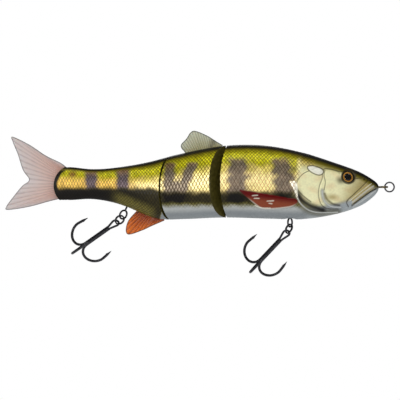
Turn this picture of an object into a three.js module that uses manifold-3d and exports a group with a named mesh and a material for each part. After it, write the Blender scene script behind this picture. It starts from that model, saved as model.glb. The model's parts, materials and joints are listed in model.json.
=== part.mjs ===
// Three-section jointed swimbait: a hard fish body in three hollow two-half shells, hinged on
// vertical pins, with soft fins, swivelling hook hangers, split rings and two treble hooks.
// Millimetres, +X towards the nose, +Z up, +Y the fish's left side.
// The origin is the centre of the line-tie eye in front of the nose.
import * as THREE from "three";
import { mergeVertices } from "three/addons/utils/BufferGeometryUtils.js";
import Module from "manifold-3d";

const wasm = await Module();
wasm.setup();

// ---- driving dimensions -------------------------------------------------------------------

const CLEARANCE = 0.3; // running gap between neighbouring pieces
const SEAM_GAP = 0.3; // gap between the two halves of a shell

// body, measured back from the nose tip
const NOSE_SETBACK = 2.6; // line-tie eye centre to nose tip
const FRONT_LENGTH = 85.1; // nose tip to the front hinge
const MIDDLE_LENGTH = 31; // front hinge to the rear hinge
const REAR_LENGTH = 58; // rear hinge to the end of the tail stalk
const BODY_HEIGHT = 39; // back to belly at the deepest place
const BODY_WIDTH = 24; // flank to flank at the widest place
const BODY_LENGTH = FRONT_LENGTH + MIDDLE_LENGTH + REAR_LENGTH;
const MIDDLE_YAW = THREE.MathUtils.degToRad(-11); // swing of the middle section at rest
const REAR_YAW = -MIDDLE_YAW; // the rear section swings back, parallel to the front

// shell walls
const FLANK_WALL = 1.8;
const BACK_WALL = 4.5;
const BELLY_WALL = 5;

// hinges
const HINGE_PIN_RADIUS = 0.9;
const HINGE_WIRE_RADIUS = 0.55;
const HINGE_LOOP_RADIUS = 1.95;
const HINGE_SHANK_LENGTH = 9;
const HINGE_SWING = THREE.MathUtils.degToRad(17.5); // each way from straight

// line tie, hangers and rings
const TIE_WIRE_RADIUS = 0.55;
const TIE_LOOP_RADIUS = 1.9;
const TIE_SHANK_LENGTH = 13;
const HANGER_WIRE_RADIUS = 0.5;
const HANGER_LOOP_RADIUS = 2.35;
const SLEEVE_LENGTH = 3.2;
const SLEEVE_WALL = 0.8;
const RING_RADIUS = 2.5;
const RING_THICKNESS = 0.85; // across the ring's wire, outwards
const RING_WIDTH = 1.2; // along the ring's axis, both coils

// treble hooks
const TREBLE_LENGTH = 30;
const TREBLE_REACH = 13.4; // shank axis to hook point
const TREBLE_WIRE_RADIUS = 0.6;
const TREBLE_EYE_RADIUS = 1.8;
const TREBLE_POINT_RISE = 14; // bottom of the bend up to the tip of the point

// eyes and fins
const EYE_RADIUS = 3.2;
const EYE_DOME = 1.5;
const FIN_THICKNESS = 0.8;
const TAIL_THICKNESS = 1.2;
const FIN_TAB_DEPTH = 3;

// ---- materials ----------------------------------------------------------------------------

function material(color, roughness, metalness) {
  return new THREE.MeshStandardMaterial({ color, roughness, metalness });
}
const shellPaint = material(0x8a7a2c, 0.25, 0.1);
const steel = material(0x9a9a98, 0.3, 1);
const blackNickel = material(0x2a2a2e, 0.3, 0.9);
const lead = material(0x6a6c70, 0.6, 0.8);
const brass = material(0xb08a40, 0.35, 1);
const irisGold = material(0xb8862a, 0.3, 0.6);
const clearLens = material(0xe8e8e8, 0.05, 0);
const creamFin = material(0xb8ad84, 0.5, 0);
const orangeFin = material(0xc2541c, 0.5, 0);
const tailFinPink = material(0xc0a098, 0.5, 0);

// ---- solids -------------------------------------------------------------------------------

// A closed geometry as a manifold-3d solid.
function solidOf(geometry, matrix) {
  const shape = geometry.clone();
  if (matrix) shape.applyMatrix4(matrix);
  shape.deleteAttribute("normal");
  shape.deleteAttribute("uv");
  const merged = mergeVertices(shape, 1e-4);
  return new wasm.Manifold(
    new wasm.Mesh({
      numProp: 3,
      vertProperties: merged.attributes.position.array,
      triVerts: new Uint32Array(merged.index.array),
    }),
  );
}

// A solid back as a geometry with flat faces.
function geometryOf(solid) {
  const mesh = solid.getMesh();
  const geometry = new THREE.BufferGeometry();
  geometry.setAttribute("position", new THREE.BufferAttribute(mesh.vertProperties, 3));
  geometry.setIndex(new THREE.BufferAttribute(mesh.triVerts, 1));
  const flat = geometry.toNonIndexed();
  flat.computeVertexNormals();
  return flat;
}

function addMesh(group, name, solid, look) {
  const mesh = new THREE.Mesh(geometryOf(solid), look);
  mesh.name = name;
  group.add(mesh);
  return mesh;
}

function moved(x, y, z) {
  return new THREE.Matrix4().makeTranslation(x, y, z);
}

function box(sizeX, sizeY, sizeZ, x, y, z) {
  return solidOf(new THREE.BoxGeometry(sizeX, sizeY, sizeZ), moved(x, y, z));
}

// An upright cylinder from low to high.
function upright(radius, low, high, x = 0, y = 0, sides = 20) {
  const cylinder = new THREE.CylinderGeometry(radius, radius, high - low, sides);
  cylinder.rotateX(Math.PI / 2);
  return solidOf(cylinder, moved(x, y, (low + high) / 2));
}

// A cylinder along X from rear to front.
function lengthwise(radius, rear, front, z, sides = 10) {
  const cylinder = new THREE.CylinderGeometry(radius, radius, front - rear, sides);
  cylinder.rotateZ(Math.PI / 2);
  return solidOf(cylinder, moved((rear + front) / 2, 0, z));
}

// A plan outline (x, y) stretched upright through the whole body.
function uprightPrism(shape) {
  const prism = new THREE.ExtrudeGeometry(shape, {
    depth: 2 * BODY_HEIGHT,
    bevelEnabled: false,
    curveSegments: 10,
  });
  return solidOf(prism, moved(0, 0, -BODY_HEIGHT));
}

// A side outline (x, z) with the given thickness about the middle plane.
function sidePlate(shape, thickness) {
  const plate = new THREE.ExtrudeGeometry(shape, {
    depth: thickness,
    bevelEnabled: false,
    curveSegments: 6,
  });
  plate.rotateX(Math.PI / 2);
  return solidOf(plate, moved(0, thickness / 2, 0));
}

// ---- body outline -------------------------------------------------------------------------

// Shares of the body length, back from the nose, with the back line, belly line and half width
// as shares of the body height and width.
const BACK_LINE = [
  [0, 0], [0.021, 0.11], [0.058, 0.205], [0.132, 0.328], [0.23, 0.465], [0.34, 0.561],
  [0.438, 0.574], [0.518, 0.533], [0.625, 0.438], [0.724, 0.328], [0.822, 0.26],
  [0.883, 0.246], [0.945, 0.273], [1.03, 0.29],
];
const BELLY_LINE = [
  [0, 0], [0.021, -0.15], [0.058, -0.26], [0.132, -0.37], [0.23, -0.437], [0.34, -0.43],
  [0.475, -0.415], [0.6, -0.437], [0.675, -0.437], [0.724, -0.369], [0.773, -0.274],
  [0.822, -0.205], [0.883, -0.164], [0.945, -0.177], [1.03, -0.187],
];
const HALF_WIDTH_LINE = [
  [0, 0], [0.021, 0.155], [0.058, 0.262], [0.132, 0.39], [0.23, 0.476], [0.34, 0.5],
  [0.438, 0.485], [0.49, 0.46], [0.575, 0.433], [0.668, 0.375], [0.724, 0.333],
  [0.822, 0.233], [0.883, 0.183], [0.945, 0.142], [1.03, 0.1],
];
const SECTION_POWER = 2.25; // superellipse power of the cross-section
const SECTION_SIDES = 24;

// A smooth line through the points. It runs on the square root of the distance, so that it
// leaves the nose tip upright and the nose is round.
function smoothLine(points) {
  const s = points.map(([share]) => Math.sqrt(share));
  const v = points.map(([, value]) => value);
  const slope = points.map((_, i) => {
    const a = Math.max(i - 1, 0);
    const b = Math.min(i + 1, points.length - 1);
    return (v[b] - v[a]) / (s[b] - s[a]);
  });
  return (share) => {
    const at = Math.sqrt(share);
    let i = 0;
    while (i < s.length - 2 && at > s[i + 1]) i += 1;
    const step = s[i + 1] - s[i];
    const t = (at - s[i]) / step;
    const h00 = 2 * t ** 3 - 3 * t ** 2 + 1;
    const h10 = t ** 3 - 2 * t ** 2 + t;
    const h01 = 3 * t ** 2 - 2 * t ** 3;
    const h11 = t ** 3 - t ** 2;
    return h00 * v[i] + h10 * step * slope[i] + h01 * v[i + 1] + h11 * step * slope[i + 1];
  };
}
const backShare = smoothLine(BACK_LINE);
const bellyShare = smoothLine(BELLY_LINE);
const halfWidthShare = smoothLine(HALF_WIDTH_LINE);

// Heights and half width of the straight fish, back millimetres behind the nose tip.
const backAt = (back) => backShare(back / BODY_LENGTH) * BODY_HEIGHT;
const bellyAt = (back) => bellyShare(back / BODY_LENGTH) * BODY_HEIGHT;
const halfWidthAt = (back) => halfWidthShare(back / BODY_LENGTH) * BODY_WIDTH;

// The flank's half width at a height, back millimetres behind the nose tip.
function flankAt(back, z) {
  const middle = (backAt(back) + bellyAt(back)) / 2;
  const reach = (backAt(back) - bellyAt(back)) / 2;
  const share = Math.min(1, Math.abs(z - middle) / reach);
  return halfWidthAt(back) * (1 - share ** SECTION_POWER) ** (1 / SECTION_POWER);
}

// The body between two stations, drawn in by the walls. Its x is 0 at originBack.
function bodyLoft(from, to, originBack, wall = { flank: 0, back: 0, belly: 0 }) {
  const stations = [];
  const roundNose = 20;
  for (let i = 0; from + 0.1 < roundNose && i <= 8; i += 1) {
    const back = from + (roundNose - from) * (i / 8) ** 2;
    stations.push(Math.max(back, 0.05));
  }
  const start = Math.max(from, roundNose);
  const bays = Math.ceil((to - start) / 5);
  for (let i = stations.length ? 1 : 0; i <= bays; i += 1) {
    stations.push(start + ((to - start) * i) / bays);
  }
  const points = [];
  for (const back of stations) {
    const top = backAt(back) - wall.back;
    const bottom = bellyAt(back) + wall.belly;
    const halfWidth = halfWidthAt(back) - wall.flank;
    for (let k = 0; k < SECTION_SIDES; k += 1) {
      const angle = (2 * Math.PI * k) / SECTION_SIDES;
      const c = Math.cos(angle);
      const s = Math.sin(angle);
      const y = Math.sign(c) * Math.abs(c) ** (2 / SECTION_POWER) * halfWidth;
      const z = Math.sign(s) * Math.abs(s) ** (2 / SECTION_POWER) * ((top - bottom) / 2);
      points.push(originBack - back, y, (top + bottom) / 2 + z);
    }
  }
  const faces = [];
  const last = stations.length - 1;
  for (let i = 0; i < last; i += 1) {
    for (let k = 0; k < SECTION_SIDES; k += 1) {
      const a = i * SECTION_SIDES + k;
      const b = i * SECTION_SIDES + ((k + 1) % SECTION_SIDES);
      faces.push(a, b + SECTION_SIDES, b, a, a + SECTION_SIDES, b + SECTION_SIDES);
    }
  }
  for (let k = 1; k < SECTION_SIDES - 1; k += 1) {
    faces.push(0, k, k + 1);
    const end = last * SECTION_SIDES;
    faces.push(end, end + k + 1, end + k);
  }
  const geometry = new THREE.BufferGeometry();
  geometry.setAttribute("position", new THREE.Float32BufferAttribute(points, 3));
  geometry.setIndex(faces);
  return solidOf(geometry);
}

// ---- joints between the sections ----------------------------------------------------------

// Both joints are built about their own hinge axis, x = 0, y = 0. The parent ends in a shallow
// cup, and the child has a wedge nose with a round tip about the axis.
const WEDGE_TIP_RADIUS = HINGE_LOOP_RADIUS + HINGE_WIRE_RADIUS + 1.1;
const CUP_DEPTH = WEDGE_TIP_RADIUS + 0.7; // axis to the bottom of the cup
const EYE_SLOT_RADIUS = HINGE_LOOP_RADIUS + HINGE_WIRE_RADIUS + CLEARANCE + 0.1;
const EYE_SLOT_HEIGHT = 2 * (HINGE_WIRE_RADIUS + CLEARANCE + 0.1);

const frontJoint = {
  halfWidth: halfWidthAt(FRONT_LENGTH),
  cupRim: 0.5, // x of the parent's rim at the flank
  wedgeEdge: -3.4, // x of the child's edge at the flank
  upperEye: 9,
  lowerEye: -6,
  pinTop: 13,
  pinBottom: -10.5,
};
const rearJoint = {
  halfWidth: halfWidthAt(FRONT_LENGTH + MIDDLE_LENGTH),
  cupRim: 0.9,
  wedgeEdge: -1.9,
  upperEye: 6,
  lowerEye: -7,
  pinTop: 9.5,
  pinBottom: -11.5,
};

// Everything behind the parent's cup.
function behindCup(joint) {
  const outer = joint.halfWidth + 4;
  const rise = CUP_DEPTH - joint.cupRim;
  const radius = (joint.halfWidth ** 2 + rise ** 2) / (2 * rise);
  const angle = Math.asin(joint.halfWidth / radius);
  const shape = new THREE.Shape();
  shape.moveTo(joint.cupRim - 0.6, -outer);
  shape.lineTo(joint.cupRim, -joint.halfWidth);
  shape.absarc(CUP_DEPTH - radius, 0, radius, -angle, angle, false);
  shape.lineTo(joint.cupRim - 0.6, outer);
  shape.lineTo(-BODY_LENGTH, outer);
  shape.lineTo(-BODY_LENGTH, -outer);
  return uprightPrism(shape);
}

// Everything behind the child's wedge nose.
function behindWedge(joint) {
  const edgeX = joint.wedgeEdge;
  const edgeY = joint.halfWidth;
  const edgeAngle = Math.atan2(edgeY, edgeX);
  const tangentAngle = edgeAngle - Math.acos(WEDGE_TIP_RADIUS / Math.hypot(edgeX, edgeY));
  const slopeX = edgeX - WEDGE_TIP_RADIUS * Math.cos(tangentAngle);
  const slopeY = edgeY - WEDGE_TIP_RADIUS * Math.sin(tangentAngle);
  const overrun = 4 / Math.hypot(slopeX, slopeY);
  const farX = edgeX + slopeX * overrun;
  const farY = edgeY + slopeY * overrun;
  const shape = new THREE.Shape();
  shape.moveTo(-BODY_LENGTH, -farY);
  shape.lineTo(farX, -farY);
  shape.absarc(0, 0, WEDGE_TIP_RADIUS, -tangentAngle, tangentAngle, false);
  shape.lineTo(farX, farY);
  shape.lineTo(-BODY_LENGTH, farY);
  return uprightPrism(shape);
}

// A wire eye lying flat about the hinge axis, its shank running forward into the parent.
function hingeEye(z) {
  const loop = new THREE.TorusGeometry(HINGE_LOOP_RADIUS, HINGE_WIRE_RADIUS, 8, 20);
  const shank = lengthwise(HINGE_WIRE_RADIUS, HINGE_LOOP_RADIUS, HINGE_SHANK_LENGTH, z, 8);
  return solidOf(loop, moved(0, 0, z)).add(shank);
}

// What a parent shell loses at its rear hinge: the holes of the two shanks.
function shankHoles(joint) {
  const radius = HINGE_WIRE_RADIUS + CLEARANCE;
  const reach = HINGE_SHANK_LENGTH + CLEARANCE;
  const upper = lengthwise(radius, 0, reach, joint.upperEye);
  const lower = lengthwise(radius, 0, reach, joint.lowerEye);
  return upper.add(lower);
}

// What a child shell loses at its nose: the slots of the eyes and the hole of the pin.
function noseSlots(joint) {
  const halfOpening = WEDGE_TIP_RADIUS * Math.sin(HINGE_SWING) + HINGE_WIRE_RADIUS + CLEARANCE;
  const pinHole = HINGE_PIN_RADIUS + CLEARANCE;
  let slots = upright(pinHole, joint.pinBottom - CLEARANCE, joint.pinTop + CLEARANCE);
  for (const z of [joint.upperEye, joint.lowerEye]) {
    const low = z - EYE_SLOT_HEIGHT / 2;
    const high = z + EYE_SLOT_HEIGHT / 2;
    slots = slots.add(upright(EYE_SLOT_RADIUS, low, high));
    const reach = WEDGE_TIP_RADIUS + 1;
    slots = slots.add(box(reach, 2 * halfOpening, EYE_SLOT_HEIGHT, reach / 2, 0, z));
  }
  return slots;
}

// ---- shells -------------------------------------------------------------------------------

// A section's two halves, parted on the middle plane.
function addShells(group, name, section) {
  const size = 2 * BODY_LENGTH;
  const leftSide = box(size, size, size, 0, size / 2 - SEAM_GAP / 2, 0);
  const rightSide = box(size, size, size, 0, SEAM_GAP / 2 - size / 2, 0);
  addMesh(group, `${name}_shell_right`, section.subtract(leftSide), shellPaint);
  addMesh(group, `${name}_shell_left`, section.subtract(rightSide), shellPaint);
}

const walls = { flank: FLANK_WALL, back: BACK_WALL, belly: BELLY_WALL };
const ballastWalls = {
  flank: FLANK_WALL + CLEARANCE,
  back: BACK_WALL + CLEARANCE,
  belly: BELLY_WALL + CLEARANCE,
};
const BALLAST_HEIGHT = 5;

// A cast weight that fills the bottom of a cavity between two stations.
function ballast(from, to, originBack) {
  const lowest = Math.min(bellyAt(from), bellyAt(to)) + BELLY_WALL + CLEARANCE;
  const size = BODY_LENGTH;
  const above = box(2 * size, size, size, 0, 0, lowest + BALLAST_HEIGHT + size / 2);
  return bodyLoft(from, to, originBack, ballastWalls).subtract(above);
}

// ---- links of the hook chain --------------------------------------------------------------

// The place of a link: -Z runs down the chain, and Y is the normal of the link's own loop.
// turn is the turn of the loop about the chain, from facing the fish's side.
function linkFrame(origin, down, turn) {
  const z = down.clone().negate().normalize();
  const y = new THREE.Vector3(0, 1, 0).addScaledVector(z, -z.y).normalize();
  y.applyAxisAngle(z, turn);
  const x = new THREE.Vector3().crossVectors(y, z);
  return new THREE.Matrix4().makeBasis(x, y, z).setPosition(origin);
}

function addLink(group, name, solid, look, frame) {
  const mesh = addMesh(group, name, solid, look);
  frame.decompose(mesh.position, mesh.quaternion, mesh.scale);
}

// A flat wire ring about Y, centred on the origin.
function splitRing() {
  const inner = RING_RADIUS - RING_THICKNESS / 2;
  const outer = RING_RADIUS + RING_THICKNESS / 2;
  const side = RING_WIDTH / 2;
  const round = 0.25;
  const profile = [
    [inner, -side + round], [inner + round, -side], [outer - round, -side],
    [outer, -side + round], [outer, side - round], [outer - round, side],
    [inner + round, side], [inner, side - round], [inner, -side + round],
  ].map(([r, y]) => new THREE.Vector2(r, y));
  return solidOf(new THREE.LatheGeometry(profile, 20));
}

const HANGER_HEAD_RADIUS = HANGER_WIRE_RADIUS + SLEEVE_WALL;
const HANGER_HEAD_HEIGHT = 0.8;
const SLEEVE_BORE = HANGER_WIRE_RADIUS + CLEARANCE;
const SLEEVE_RADIUS = SLEEVE_BORE + SLEEVE_WALL;
const SLEEVE_SETBACK = 1.4; // belly surface in to the mouth of the sleeve
const HEAD_GAP = 0.3; // sleeve to the hanger's head

// A hanger about its stem: the loop is at -drop, the head inside the body above the sleeve.
function hanger(drop) {
  const headLow = SLEEVE_SETBACK + SLEEVE_LENGTH + HEAD_GAP;
  const loop = new THREE.TorusGeometry(HANGER_LOOP_RADIUS, HANGER_WIRE_RADIUS, 8, 24);
  loop.rotateX(Math.PI / 2);
  const stem = upright(HANGER_WIRE_RADIUS, HANGER_LOOP_RADIUS - drop, headLow + 0.1, 0, 0, 12);
  const head = upright(HANGER_HEAD_RADIUS, headLow, headLow + HANGER_HEAD_HEIGHT, 0, 0, 16);
  return solidOf(loop, moved(0, 0, -drop)).add(stem).add(head);
}

function sleeve() {
  const low = SLEEVE_SETBACK;
  const outer = upright(SLEEVE_RADIUS, low, low + SLEEVE_LENGTH);
  return outer.subtract(upright(SLEEVE_BORE, low - 1, low + SLEEVE_LENGTH + 1));
}

// What the shells lose at a hanger: the sleeve's seat, room for the head, and a dish in the belly.
function hangerSeat(frame, dishDepth) {
  const top = SLEEVE_SETBACK + SLEEVE_LENGTH + HEAD_GAP + HANGER_HEAD_HEIGHT + CLEARANCE;
  const seatRadius = SLEEVE_RADIUS + CLEARANCE;
  const seat = upright(seatRadius, SLEEVE_SETBACK - CLEARANCE, top);
  const neck = upright(SLEEVE_BORE + CLEARANCE, -2, SLEEVE_SETBACK);
  const dishRadius = HANGER_LOOP_RADIUS + HANGER_WIRE_RADIUS + 0.7;
  const dish = upright(dishRadius, -3, dishDepth);
  const cut = seat.add(neck).add(dish);
  return solidOf(geometryOf(cut), frame);
}

// The pear-shaped loop of a treble's eye. Both ends of its wire run down into the shank.
function trebleEye(top, bottom) {
  const radius = TREBLE_EYE_RADIUS;
  const centre = top - radius;
  const points = [new THREE.Vector3(0.5, 0, bottom - 0.8)];
  for (let i = 0; i <= 6; i += 1) {
    const angle = THREE.MathUtils.degToRad(-15 + 35 * i);
    points.push(new THREE.Vector3(radius * Math.cos(angle), 0, centre + radius * Math.sin(angle)));
  }
  points.push(new THREE.Vector3(-0.5, 0, bottom - 0.8));
  return wire(new THREE.CatmullRomCurve3(points), 20, TREBLE_WIRE_RADIUS);
}

// A round wire along a path.
function wire(path, steps, radius) {
  const section = new THREE.Shape();
  const sides = 6;
  for (let i = 0; i < sides; i += 1) {
    const angle = (2 * Math.PI * i) / sides;
    section[i ? "lineTo" : "moveTo"](radius * Math.cos(angle), radius * Math.sin(angle));
  }
  return new THREE.ExtrudeGeometry(section, { steps, extrudePath: path });
}

// A cone with its base at the start, along a direction.
function spike(start, direction, radius, length) {
  const cone = new THREE.CylinderGeometry(0.05, radius, length, 6);
  cone.translate(0, length / 2, 0);
  const turn = new THREE.Quaternion();
  turn.setFromUnitVectors(new THREE.Vector3(0, 1, 0), direction.clone().normalize());
  cone.applyQuaternion(turn);
  return solidOf(cone, moved(start.x, start.y, start.z));
}

// A treble about the ring wire that it hangs on: the eye is at the top, the shank runs down.
const TREBLE_EYE_RISE = TREBLE_WIRE_RADIUS + RING_THICKNESS / 2 + CLEARANCE + 0.05;
function treble(eyeTurn) {
  const eyeTop = TREBLE_EYE_RISE;
  const eyeBottom = eyeTop - 6.4;
  const lowest = eyeTop + TREBLE_WIRE_RADIUS - TREBLE_LENGTH;
  const wireOffset = TREBLE_WIRE_RADIUS * 1.05;
  const bendRadius = (TREBLE_REACH - wireOffset) / 2;
  const bendCentre = lowest + TREBLE_WIRE_RADIUS + bendRadius;
  const pointTop = lowest + TREBLE_POINT_RISE;
  const spikeLength = 3.4;
  const eye = trebleEye(eyeTop, eyeBottom);
  const eyeSolid = solidOf(eye, new THREE.Matrix4().makeRotationZ(eyeTurn));
  const shankRadius = wireOffset + TREBLE_WIRE_RADIUS + 0.07;
  let all = eyeSolid.add(upright(shankRadius, bendCentre, eyeBottom + 0.6, 0, 0, 12));
  for (const turn of [-90, 30, 150]) {
    const points = [new THREE.Vector3(wireOffset, 0, bendCentre + 3)];
    for (let i = 0; i <= 6; i += 1) {
      const angle = Math.PI + (Math.PI * i) / 6;
      const x = wireOffset + bendRadius + bendRadius * Math.cos(angle);
      points.push(new THREE.Vector3(x, 0, bendCentre + bendRadius * Math.sin(angle)));
    }
    const pointBase = new THREE.Vector3(TREBLE_REACH - 0.4, 0, pointTop - spikeLength);
    points.push(pointBase);
    const bend = wire(new THREE.CatmullRomCurve3(points), 20, TREBLE_WIRE_RADIUS);
    const lean = new THREE.Vector3(-0.12, 0, 1);
    const point = spike(pointBase, lean, TREBLE_WIRE_RADIUS, spikeLength);
    const barbStart = new THREE.Vector3(TREBLE_REACH - 0.7, 0, pointTop - spikeLength + 1.2);
    const barb = spike(barbStart, new THREE.Vector3(-0.45, 0, -1), 0.3, 1.7);
    const hook = solidOf(bend).add(point).add(barb);
    const placed = solidOf(
      geometryOf(hook),
      new THREE.Matrix4().makeRotationZ(THREE.MathUtils.degToRad(turn)),
    );
    all = all.add(placed);
  }
  return all;
}

// ---- front section ------------------------------------------------------------------------

const swimbait = new THREE.Group();
swimbait.name = "swimbait";
const frontHingeX = -NOSE_SETBACK - FRONT_LENGTH;

const HEAD_SOLID_LENGTH = 25; // the head is solid as far back as the eyes
const CUP_BULKHEAD = 3; // wall between a cavity and the cup behind it

// The line-tie eye lies flat, its shank runs back into the head.
const tieLoop = new THREE.TorusGeometry(TIE_LOOP_RADIUS, TIE_WIRE_RADIUS, 8, 24);
const tieShank = lengthwise(TIE_WIRE_RADIUS, -TIE_SHANK_LENGTH, -TIE_LOOP_RADIUS, 0, 8);
addMesh(swimbait, "line_tie_eye", solidOf(tieLoop).add(tieShank), brass);
const tieRoom = upright(
  TIE_LOOP_RADIUS + TIE_WIRE_RADIUS + CLEARANCE,
  -TIE_WIRE_RADIUS - CLEARANCE,
  TIE_WIRE_RADIUS + CLEARANCE,
);
const tieHole = lengthwise(
  TIE_WIRE_RADIUS + CLEARANCE,
  -TIE_SHANK_LENGTH - CLEARANCE,
  0,
  0,
);

// The eyes sit in round pockets, facing out, a little forward and a little up.
const eyePlace = { back: 16.5, z: 5.5 };
function eyeFrame(side) {
  const y = side * flankAt(eyePlace.back, eyePlace.z);
  const outward = new THREE.Vector3(0.32, side, 0.3).normalize();
  const turn = new THREE.Quaternion();
  turn.setFromUnitVectors(new THREE.Vector3(0, 0, 1), outward);
  const place = new THREE.Vector3(-NOSE_SETBACK - eyePlace.back, y, eyePlace.z);
  return new THREE.Matrix4().compose(place, turn, new THREE.Vector3(1, 1, 1));
}
const EYE_POCKET_DEPTH = 1.6;
const IRIS_THICKNESS = 0.6;
function eyePocket(side) {
  const pocket = upright(EYE_RADIUS + CLEARANCE, -EYE_POCKET_DEPTH, 4);
  return solidOf(geometryOf(pocket), eyeFrame(side));
}
function addEye(name, side) {
  const irisLow = CLEARANCE - EYE_POCKET_DEPTH;
  const irisHigh = irisLow + IRIS_THICKNESS;
  const iris = upright(EYE_RADIUS, irisLow, irisHigh, 0, 0, 24);
  addLink(swimbait, `${name}_eye_iris`, iris, irisGold, eyeFrame(side));
  const base = irisHigh + CLEARANCE;
  const domeRadius = (EYE_RADIUS ** 2 + EYE_DOME ** 2) / (2 * EYE_DOME);
  const rimAngle = Math.asin(EYE_RADIUS / domeRadius);
  const profile = [new THREE.Vector2(0, base), new THREE.Vector2(EYE_RADIUS, base)];
  const domeSteps = 4;
  for (let i = 0; i <= domeSteps; i += 1) {
    const angle = rimAngle * (1 - i / domeSteps);
    const r = i === domeSteps ? 0 : domeRadius * Math.sin(angle);
    const height = domeRadius * Math.cos(angle) - (domeRadius - EYE_DOME);
    profile.push(new THREE.Vector2(r, base + 0.3 + height));
  }
  const lens = new THREE.LatheGeometry(profile, 18);
  lens.rotateX(Math.PI / 2);
  addLink(swimbait, `${name}_eye_lens`, solidOf(lens), clearLens, eyeFrame(side));
}
addEye("right", -1);
addEye("left", 1);

// The front hanger hangs plumb under the belly.
const frontHangerBack = 47.3;
const frontHanger = {
  origin: new THREE.Vector3(-NOSE_SETBACK - frontHangerBack, 0, bellyAt(frontHangerBack)),
  stem: new THREE.Vector3(0, 0, -1),
  drop: 1.7,
  dish: 1.2,
  hangerTurn: 60,
  ringDown: new THREE.Vector3(-0.48, 0, -0.88),
  ringTurn: -55,
  trebleDown: new THREE.Vector3(-0.64, 0.34, -0.69),
  trebleTurn: 0,
  eyeTurn: 25,
};

// The rear hanger stands square to the rising belly line.
const rearHangerBack = FRONT_LENGTH + MIDDLE_LENGTH + 18.9;
const rearHanger = {
  origin: new THREE.Vector3(-18.9, 0, bellyAt(rearHangerBack)),
  stem: new THREE.Vector3(-0.42, 0, -0.91),
  drop: 4.6,
  dish: -1,
  hangerTurn: 43,
  ringDown: new THREE.Vector3(-0.8, 0, -0.6),
  ringTurn: -35,
  trebleDown: new THREE.Vector3(-0.77, 0.34, -0.54),
  trebleTurn: 0,
  eyeTurn: 30,
};

function hangerFrame(hook) {
  return linkFrame(hook.origin, hook.stem, THREE.MathUtils.degToRad(hook.hangerTurn));
}

// The hanger, its sleeve, the split ring and the treble, each hung in the one before.
function addHook(group, name, hook) {
  const place = hangerFrame(hook);
  addLink(group, `${name}_hook_sleeve`, sleeve(), brass, place);
  addLink(group, `${name}_hook_hanger`, hanger(hook.drop), blackNickel, place);
  const stem = hook.stem.clone().normalize();
  const ringDown = hook.ringDown.clone().normalize();
  const ringHang = RING_RADIUS - HANGER_WIRE_RADIUS - RING_THICKNESS / 2 - CLEARANCE - 0.1;
  const hangPoint = hook.origin.clone().addScaledVector(stem, hook.drop + HANGER_LOOP_RADIUS);
  const ringCentre = hangPoint.clone().addScaledVector(ringDown, ringHang);
  const ringPlace = linkFrame(ringCentre, ringDown, THREE.MathUtils.degToRad(hook.ringTurn));
  addLink(group, `${name}_hook_ring`, splitRing(), blackNickel, ringPlace);
  const treblePoint = ringCentre.clone().addScaledVector(ringDown, RING_RADIUS);
  const treblePlace = linkFrame(
    treblePoint,
    hook.trebleDown.clone().normalize(),
    THREE.MathUtils.degToRad(hook.trebleTurn),
  );
  const eyeTurn = THREE.MathUtils.degToRad(hook.eyeTurn);
  addLink(group, `${name}_treble_hook`, treble(eyeTurn), blackNickel, treblePlace);
}

// The split ring on the line tie stands straight out in front of the nose.
const tieRingX = TIE_LOOP_RADIUS - TIE_WIRE_RADIUS - CLEARANCE + RING_RADIUS - RING_THICKNESS / 2;
const tieRing = addMesh(swimbait, "line_tie_ring", splitRing(), steel);
tieRing.position.x = tieRingX;

const frontBody = bodyLoft(0, FRONT_LENGTH + 4, -NOSE_SETBACK);
const frontCavity = bodyLoft(
  HEAD_SOLID_LENGTH,
  FRONT_LENGTH - CUP_DEPTH - CUP_BULKHEAD,
  -NOSE_SETBACK,
  walls,
);
const toFrontHinge = moved(frontHingeX, 0, 0);
const frontSection = frontBody
  .subtract(frontCavity)
  .subtract(solidOf(geometryOf(behindCup(frontJoint)), toFrontHinge))
  .subtract(solidOf(geometryOf(shankHoles(frontJoint)), toFrontHinge))
  .subtract(tieRoom)
  .subtract(tieHole)
  .subtract(eyePocket(-1))
  .subtract(eyePocket(1))
  .subtract(hangerSeat(hangerFrame(frontHanger), frontHanger.dish));
addShells(swimbait, "front", frontSection);
addMesh(swimbait, "front_ballast", ballast(51.5, 71, -NOSE_SETBACK), lead);
addHook(swimbait, "front", frontHanger);

// ---- hinge hardware of a joint ------------------------------------------------------------

function addHinge(parent, child, name, joint, x) {
  for (const [level, z] of [["upper", joint.upperEye], ["lower", joint.lowerEye]]) {
    const eye = addMesh(parent, `${name}_joint_${level}_eye`, hingeEye(z), steel);
    eye.position.x = x;
  }
  const pin = upright(HINGE_PIN_RADIUS, joint.pinBottom, joint.pinTop, 0, 0, 16);
  addMesh(child, `${name}_joint_pin`, pin, steel);
}

// ---- fins ---------------------------------------------------------------------------------

function outline(points) {
  const shape = new THREE.Shape();
  shape.moveTo(points[0][0], points[0][1]);
  shape.splineThru(points.slice(1).map(([x, z]) => new THREE.Vector2(x, z)));
  return shape;
}

// A fin that follows the body's skin, with a straight tab that is held between the shells.
const grown = { flank: -CLEARANCE, back: -CLEARANCE, belly: -CLEARANCE };
function fin(edge, tab, thickness, from, to, originBack) {
  const blade = sidePlate(outline(edge), thickness);
  const tabShape = new THREE.Shape(tab.map(([x, z]) => new THREE.Vector2(x, z)));
  return blade.subtract(bodyLoft(from, to, originBack, grown)).add(sidePlate(tabShape, thickness));
}

// The slot for a tab: the tab itself with room around it.
function tabSlot(tab, thickness) {
  const grow = CLEARANCE;
  const centreX = tab.reduce((sum, [x]) => sum + x, 0) / tab.length;
  const centreZ = tab.reduce((sum, [, z]) => sum + z, 0) / tab.length;
  const wider = tab.map(([x, z]) => {
    return new THREE.Vector2(x + grow * Math.sign(x - centreX), z + grow * Math.sign(z - centreZ));
  });
  return sidePlate(new THREE.Shape(wider), thickness + 2 * CLEARANCE);
}

// ---- middle section -----------------------------------------------------------------------

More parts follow.
